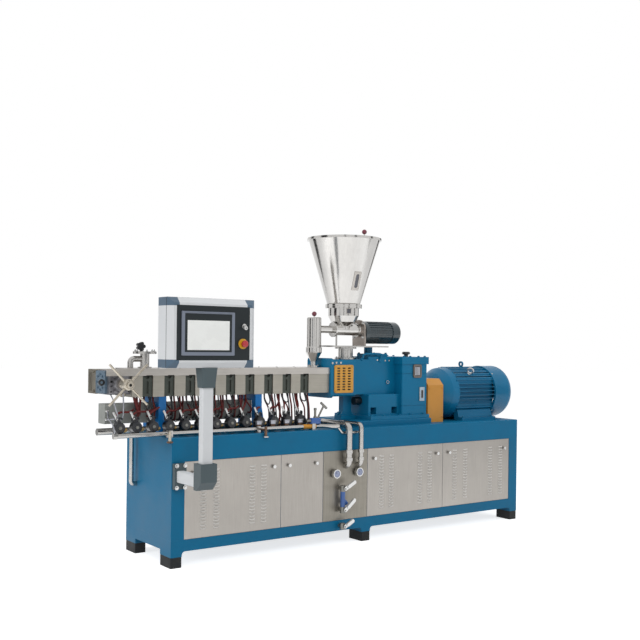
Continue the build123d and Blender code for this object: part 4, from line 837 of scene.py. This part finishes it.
# Guard: screws in its front
guard_screws = [machine(x, axis_y - 190, z) for x in (2138, 2262) for z in (800, 1010)]
screws("guard_screws", guard_screws, TO_VIEWER, guard_orange, "guard_orange", head=cap_screw,
       radius=0.006, height=0.004)

# Barrel tray: dark strips over the joint shields, painted shade under the tray's lip, and screws along its
# top
shield_shade = bmesh.new()
tray_screws = []
for x in barrel_joints:
    slab(shield_shade, machine(x + 8, 187, 1123), width=0.040, height=0.005, depth=0.003, bevel=0.0008)
    tray_screws += both_sides((x + 71,), 113, 1165)
piece("tray_lip_shade", shield_shade, gap_and_shade_black)
screws("tray_screws", tray_screws, UP, head=cap_screw, radius=0.005, height=0.003)

# Vent flange studs
studs = bmesh.new()
for seat in ring_places(-32, axis_y, 1266, radius=60, count=6, start=0.3):
    hex_screw(studs, seat, UP, radius=0.0065, height=0.007)
    rod(studs, seat, seat + UP * 0.013, radius=0.0035, steps=10)
piece("vent_studs", studs, bright_metal)

# Die end: round ports, a dark bar and discs as painted shade in the screen changer's slot and holes, a plug
# in the die plate
changer_y = 213
ports = bmesh.new()
for x, z in ((-224, 1136), (-221, 1014)):
    cup(ports, machine(x, changer_y, z), TO_VIEWER, radius=0.017, height=0.013, bevel=(0.003, 0.003),
        hollow=0.0075, floor=0.004, steps=24)
piece("changer_ports", ports, warm_metal)
# Painted shade: a dark bar and discs in the changer's slot and holes.
hole_shade = bmesh.new()
slab(hole_shade, machine(-288, changer_y - 0.4, 1078), width=0.012, height=0.034, depth=0.0022, bevel=0.0005)
for x, z in ((-180, 1030), (-290, 1030), (-290, 1140)):
    disc(hole_shade, machine(x, changer_y, z), TO_VIEWER, radius=0.0055, height=0.0006, steps=14)
piece("changer_hole_shade", hole_shade, gap_and_shade_black, smooth=False)
plate_low, plate_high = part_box("die_plate")
port_place = Vector(((plate_low.x + plate_high.x) / 2 - 0.024, plate_low.y, machine(0, 0, 1084).z))
single("die_port", knob_black, "die_steel", cup, port_place, TO_VIEWER, radius=0.020,
       height=0.006, bevel=(0.003, 0.002), hollow=0.012, floor=0.002)
single("die_port_plug", die_steel, "die_steel", disc, port_place - BACK * 0.002, TO_VIEWER,
       radius=0.0085, height=0.003, steps=6)
hub_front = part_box("capstan_handle")[0].y
hub_x, hub_z = -241, 1075
single("capstan_cap", warm_metal, "bright_metal", cup, at_depth(hub_x, hub_front + 0.004, hub_z), TO_VIEWER,
       radius=0.019, height=0.015, bevel=(0.003, 0.003), hollow=0.009, floor=0.006, body="capstan")
# Dark disc at the floor of the cap's hollow: painted shade.
single("capstan_hollow_shade", gap_and_shade_black, "bright_metal", disc, at_depth(hub_x, hub_front - 0.002, hub_z), TO_VIEWER,
       radius=0.0088, height=0.0008, body="capstan", smooth=False)

# Zone valves: bodies, red feeds, bright levers, nuts, brass side ports and plugs
valve_y = 160
coil_z = 826
lever_z = 867
neck_z = 829
lever_way = swing(RIGHT, UP, math.radians(118))
lever_side = Vector((lever_way.z, 0, -lever_way.x))
neck = [(0, 0), (0.007, 0), (0.007, 0.025), (0.011, 0.027), (0.011, 0.050), (0.007, 0.052), (0, 0.052)]
side_port = [(0, 0), (0.015, 0), (0.015, 0.010), (0.011, 0.013), (0.011, 0.019), (0, 0.019)]
port_offset = 11.5
levers, nuts, side_ports, faces, coil_nuts, bodies, feeds = [bmesh.new() for _ in range(7)]
for number, x in enumerate(valve_x):
    joint = round(number * 8 / 12)
    second = number > 0 and joint == round((number - 1) * 8 / 12)
    port = barrel_joints[joint] + (port_offset if second else -port_offset)
    rise = 955 if second else 935
    span = port - x
    lay(feeds, 0.0062, (x, valve_y, 876), (x + 2, 161, 898), (x + span * 0.16, 172, 911),
        (x + span * 0.5, 200, rise - 24), (x + span * 0.84, 240, rise), (port, 268, rise + 22),
        (port, 275, 1000), spans=7)
    slab(bodies, machine(x, valve_y, 801), width=0.030, height=0.056, depth=0.030, bevel=0.003)
    disc(bodies, machine(x, 145, supply_z), TO_VIEWER, radius=0.010, height=0.072, steps=18)
    turn(bodies, machine(x, valve_y, neck_z), UP, neck, steps=18)
    disc(bodies, machine(x, 150, lever_z), TO_VIEWER, radius=0.005, height=0.009, steps=12)
    slab(levers, machine(x, 143, lever_z) + lever_way * 0.026, width=0.0128, height=0.062, depth=0.0066,
         bevel=0.0022, right=lever_side, up=lever_way)
    disc(levers, machine(x, 140, lever_z), TO_VIEWER, radius=0.008, height=0.006, steps=6,
         bevel=(0.002, 0.002))
    for radius, z in ((0.0125, neck_z), (0.0115, 880)):
        disc(nuts, machine(x, valve_y, z), UP, radius, height=0.010, steps=6, bevel=(0.0015, 0.002))
    disc(nuts, machine(x, 86, supply_z), BACK, radius=0.013, height=0.010, steps=6)
    turn(side_ports, machine(x + 27, 122, 812), RIGHT, side_port, steps=14)
    torus(faces, machine(x, 101, coil_z), BACK, radius=0.0265, thickness=0.0022, steps=32, sides=8)
    disc(coil_nuts, machine(x, 101.5, coil_z), TO_VIEWER, radius=0.0105, height=0.0055, steps=6,
         bevel=(0.002, 0.0015))
bodies_piece = piece("valve_bodies", bodies, valve_grey)
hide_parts("zone_valves")
piece("valve_feeds", feeds, lead_brown)
piece("valve_lever_grips", levers, bright_metal)
piece("valve_nuts", nuts, bright_metal)
piece("valve_side_ports", side_ports, brass_body)
piece("coil_faces", faces, coil_black)
piece("coil_nuts", coil_nuts, galvanised)
first_plug = 9
plugs = bmesh.new()
plug_feet = bmesh.new()
for x in valve_x[first_plug:]:
    plug_x = x - 26
    slab(plugs, machine(plug_x, 91, 822), width=0.036, height=0.026, depth=0.020, bevel=0.003)
    slab(plug_feet, machine(plug_x, 92, 802), width=0.030, height=0.014, depth=0.016, bevel=0.002)
    rod(plug_feet, machine(plug_x, 92, 800), machine(plug_x, 92, 786), radius=0.005, steps=12)
piece("valve_plugs", plugs, hose_silver)
piece("valve_plug_feet", plug_feet, bronze)

# Ball valve with a slanted handle on the supply pipe
single("ball_valve_body", valve_blue, "machine_blue", slab, machine(1067, supply_y, 820),
       width=0.074, height=0.040, depth=0.034, bevel=0.005)
union = [(0, 0), (0.011, 0), (0.011, 0.008), (0.008, 0.011), (0.008, 0.030), (0, 0.030)]
handle = bmesh.new()
rod(handle, machine(1088, supply_y, 836), machine(1137, supply_y, 918), radius=0.0065)
rod(handle, machine(1113, supply_y, 938), machine(1161, supply_y, 899), radius=0.008)
turn(handle, machine(1031, supply_y, 822), -RIGHT, union, steps=16)
piece("ball_valve_handle", handle, galvanised)
column = [(0, 0), (0.012, 0), (0.012, 0.010), (0.008, 0.012), (0.008, 0.050), (0.010, 0.052),
          (0.010, 0.066), (0, 0.066)]
single("ball_valve_column", galvanised, "bright_metal", turn, machine(1072, 66, 838), UP,
       column, steps=16)

# Bare orange band on the supply pipe
single("pipe_band", sign_yellow, "guard_orange", disc, machine(970, supply_y, supply_z), RIGHT,
       radius=0.0158, height=0.100, steps=32)

# Drain fittings in front of the deck's edge
drain_y = -12
drain_foot = [(0, 0), (0.012, 0), (0.019, 0.004), (0.019, 0.010), (0.011, 0.013), (0, 0.013)]
drains = ((-20, warm_metal, bronze), (640, bronze, bright_metal))
for number, (x, body_metal, foot_metal) in enumerate(drains):
    drain = bmesh.new()
    rod(drain, machine(x, 50, supply_z), machine(x, drain_y, supply_z), radius=0.006)
    rod(drain, machine(x, drain_y, 744), machine(x, drain_y, 806), radius=0.0088, steps=18, tip=0.002)
    piece(f"drain_body_{number}", drain, body_metal)
    single(f"drain_foot_{number}", foot_metal, "brass_body", turn, machine(x, drain_y, 736),
           UP, drain_foot)

# Leads and hoses below the barrel, each held at both ends
stands = (33, 716)
stand_room = 42
wireway_y = 258
last_lead_x = 1150
wireway_end_x = 690
shade = random.Random(7)
red_leads, grey_leads, glands = [bmesh.new() for _ in range(3)]
gland_shape = [(0, 0), (0.0105, 0), (0.0105, 0.006), (0.0095, 0.009), (0.0075, 0.013), (0, 0.013)]
lead_kinds = ((-50, red_leads, 0.0062), (52, red_leads, 0.0056), (38, grey_leads, 0.0046),
              (-66, grey_leads, 0.0044))


def clear_of_stands(x):
    """Whether a lead at this station passes beside the stands."""
    return all(abs(x - stand) > stand_room for stand in stands)


def gland(x, y, z):
    """Adds a cable gland with a domed nut."""
    turn(glands, machine(x, y, z), TO_VIEWER, gland_shape, steps=8)


for x in barrel_joints:
    for shift, mesh, radius in lead_kinds:
        top = x + shift
        if not clear_of_stands(top) or top > last_lead_x:
            continue
        sway = shade.uniform(-9, 9)
        low = shade.uniform(842, 862)
        route = [(top, 238, 1004), (top + sway * 0.4, 230, 968), (top + sway, 212, 915)]
        if top < wireway_end_x:
            route += [(top + sway * 0.6, 222, low + 16), (top, 256, low)]
            gland(top, wireway_y, low)
        else:
            route += [(top + sway * 0.6, 206, 850), (top, 204, 761)]
        lay(mesh, radius, *route)
    loop = x + 6
    if clear_of_stands(loop) and clear_of_stands(loop + 30):
        deep = shade.uniform(922, 944)
        lay(grey_leads, 0.0042, (loop - 16, 236, 1004), (loop - 18, 214, 956), (loop, 203, deep),
            (loop + 18, 212, 954), (loop + 17, 236, 1004))
lay(red_leads, 0.0085, (-138, 232, 1000), (-128, 222, 948), (-118, 208, 900), (-120, 232, 868),
    (-118, wireway_y, 862))
gland(-118, wireway_y, 862)
piece("red_leads", red_leads, lead_brown)
piece("grey_leads", grey_leads, lead_grey)
gland(-296, 257, 916)
gland(-298, 257, 866)
piece("wireway_glands", glands, bright_metal)

hoses = bmesh.new()
lay(hoses, 0.0042, (-231, 176, 1020), (-230, 172, 980), (-231, 168, 930), (-240, 160, 880), (-268, 160, 838))
lay(hoses, 0.004, (-288, 226, 1014), (-287, 190, 985), (-284, 160, 940), (-272, 152, 886), (-276, 160, 836))
lay(hoses, 0.004, (-298, 250, 866), (-302, 214, 868), (-286, 196, 872), (-270, 176, 868), (-276, 162, 840))
lay(hoses, 0.004, (-296, 250, 916), (-300, 228, 900), (-312, 200, 880), (-318, 120, 846), (-330, 62, 812),
    (-338, 60, 787))
piece("thin_hoses", hoses, hose_silver)

# Pendant: profile seams and bracket bolts
case_low, case_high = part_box("pendant_case")
seam_y = case_high.y - 0.0956
seam_half_width, seam_half_depth = 0.0016, 0.0004
seam_lift, seam_inset = 0.0003, 0.002
seams = bmesh.new()
for x in (case_low.x - seam_lift, case_high.x + seam_lift):
    bar(seams, Vector((x - seam_half_depth, seam_y - seam_half_width, case_low.z + seam_inset)),
        Vector((x + seam_half_depth, seam_y + seam_half_width, case_high.z - seam_inset)))
for z in (case_low.z - seam_lift, case_high.z + seam_lift):
    bar(seams, Vector((case_low.x + seam_inset, seam_y - seam_half_width, z - seam_half_depth)),
        Vector((case_high.x - seam_inset, seam_y + seam_half_width, z + seam_half_depth)))
piece("pendant_seams", seams, gap_and_shade_black, body="pendant", smooth=False)
bracket = [machine(43 + sx * 27, -36, 541 + sz * 64) for sx in (-1, 1) for sz in (-1, 1)]
screws("bracket_bolts", bracket, TO_VIEWER, radius=0.0088, height=0.004)

# Floor, light and camera
floor_reach = 40
floor_mesh = bpy.data.meshes.new("floor")
floor_mesh.from_pydata([(x * floor_reach, y * floor_reach, 0)
                        for x, y in ((-1, -1), (1, -1), (1, 1), (-1, 1))], [], [(0, 1, 2, 3)])
floor = show("floor", floor_mesh)
floor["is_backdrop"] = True


def seen_directly(tree, *rays):
    """1 where a ray of one of the given kinds arrives, else 0."""
    path = add(tree, "LightPath")
    seen = path.outputs[rays[0]]
    for ray in rays[1:]:
        seen = add(tree, "Math", [(0, seen), (1, path.outputs[ray])], operation="MAXIMUM").outputs[0]
    return seen


paper_glow = 0.74
paper = bpy.data.materials.new("paper")
paper.use_nodes = True
tree = paper.node_tree
tree.nodes.remove(tree.nodes["Principled BSDF"])
matt = add(tree, "BsdfDiffuse", Color=(0.80, 0.80, 0.80, 1))
glow = add(tree, "Emission", Color=(1, 1, 1, 1), Strength=paper_glow)
both = add(tree, "AddShader", [(0, matt.outputs[0]), (1, glow.outputs[0])])
seen = seen_directly(tree, "Is Camera Ray", "Is Glossy Ray")
mixed = add(tree, "MixShader", [(0, seen), (1, matt.outputs[0]), (2, both.outputs[0])])
tree.links.new(mixed.outputs[0], tree.nodes["Material Output"].inputs["Surface"])
floor_mesh.materials.append(paper)

soft_light = 0.36
world = bpy.data.worlds.new("studio")
bpy.context.scene.world = world
world.use_nodes = True
tree = world.node_tree
seen = seen_directly(tree, "Is Camera Ray", "Is Glossy Ray", "Is Transmission Ray")
white = add(tree, "Background", Color=(1, 1, 1, 1), Strength=1)
soft = add(tree, "Background", Color=(0.95, 0.97, 1, 1), Strength=soft_light)
mixed = add(tree, "MixShader", [(0, seen), (1, soft.outputs[0]), (2, white.outputs[0])])
tree.links.new(mixed.outputs[0], tree.nodes["World Output"].inputs["Surface"])


def lamp(name, place, aim, size, power, colour=(1, 1, 1)):
    """Square soft light that points at a place and doesn't show in bright metal."""
    data = bpy.data.lights.new(name, "AREA")
    data.size = size
    data.energy = power
    data.color = colour
    made = show(name, data)
    made.location = place
    made.rotation_euler = (Vector(aim) - Vector(place)).to_track_quat("-Z", "Y").to_euler()
    made.visible_glossy = False


lamp("key_light", (-3.5, -5.5, 4.5), (0, 0, 0.9), size=3.0, power=150, colour=(1, 0.99, 0.97))
lamp("fill_light", (4.5, -4.5, 2.6), (0.3, 0, 0.9), size=3.0, power=70, colour=(0.95, 0.98, 1))
lamp("top_light", (0.5, 0.5, 5.5), (0.2, 0, 0.8), size=4.0, power=100)
lamp("end_light", (-6.0, 0.8, 2.2), (-1, 0, 0.9), size=2.2, power=90)

machine_middle = Vector((0, 0.2, 1.2))


def dark_card(name, centre, width, height):
    """Upright black card that only shows as a dark streak in bright metal."""
    mesh = bpy.data.meshes.new(name)
    centre = Vector(centre)
    right = UP.cross(machine_middle - centre)
    right = Vector((right.x, right.y, 0)).normalized() * width / 2
    up = UP * height / 2
    mesh.from_pydata([centre - right - up, centre + right - up, centre + right + up, centre - right + up],
                     [], [(0, 1, 2, 3)])
    mesh.materials.append(gap_and_shade_black)
    made = show(name, mesh)
    made.visible_camera = False
    made.visible_diffuse = False
    made.visible_shadow = False
    made.visible_transmission = False
    made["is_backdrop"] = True


dark_card("card_left", (-6.5, 1.5, 1.6), width=2.6, height=4.0)
dark_card("card_back_left", (-3.5, 7.0, 1.8), width=2.2, height=4.5)
dark_card("card_back_right", (7.5, 3.5, 1.8), width=2.4, height=4.5)
dark_card("card_right", (6.0, -4.0, 1.6), width=1.0, height=3.6)
dark_card("card_middle", (-0.2, -8.0, 1.8), width=0.8, height=3.6)
dark_card("card_front_left", (-4.6, -6.6, 1.8), width=0.5, height=3.6)

# Camera: focal length and shift in pixels of a picture 640 wide
picture_width = 640
focal_pixels = 923.117
shift_pixels = 25.01
yaw = 0.6273
roll = 0.012
camera_data = bpy.data.cameras.new("camera")
camera_data.sensor_width = 36
camera_data.lens = focal_pixels * 36 / picture_width
camera_data.shift_y = shift_pixels / picture_width
camera_data.clip_end = 200
camera = show("camera", camera_data)
camera.location = machine(-2465.78, -4859.04, 1317.97)
look = Matrix.Rotation(-yaw, 4, "Z") @ Matrix.Rotation(math.pi / 2, 4, "X") @ Matrix.Rotation(roll, 4, "Z")
camera.rotation_euler = look.to_euler()
bpy.context.scene.camera = camera
bpy.context.scene.view_settings.view_transform = "Standard"

low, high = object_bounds()
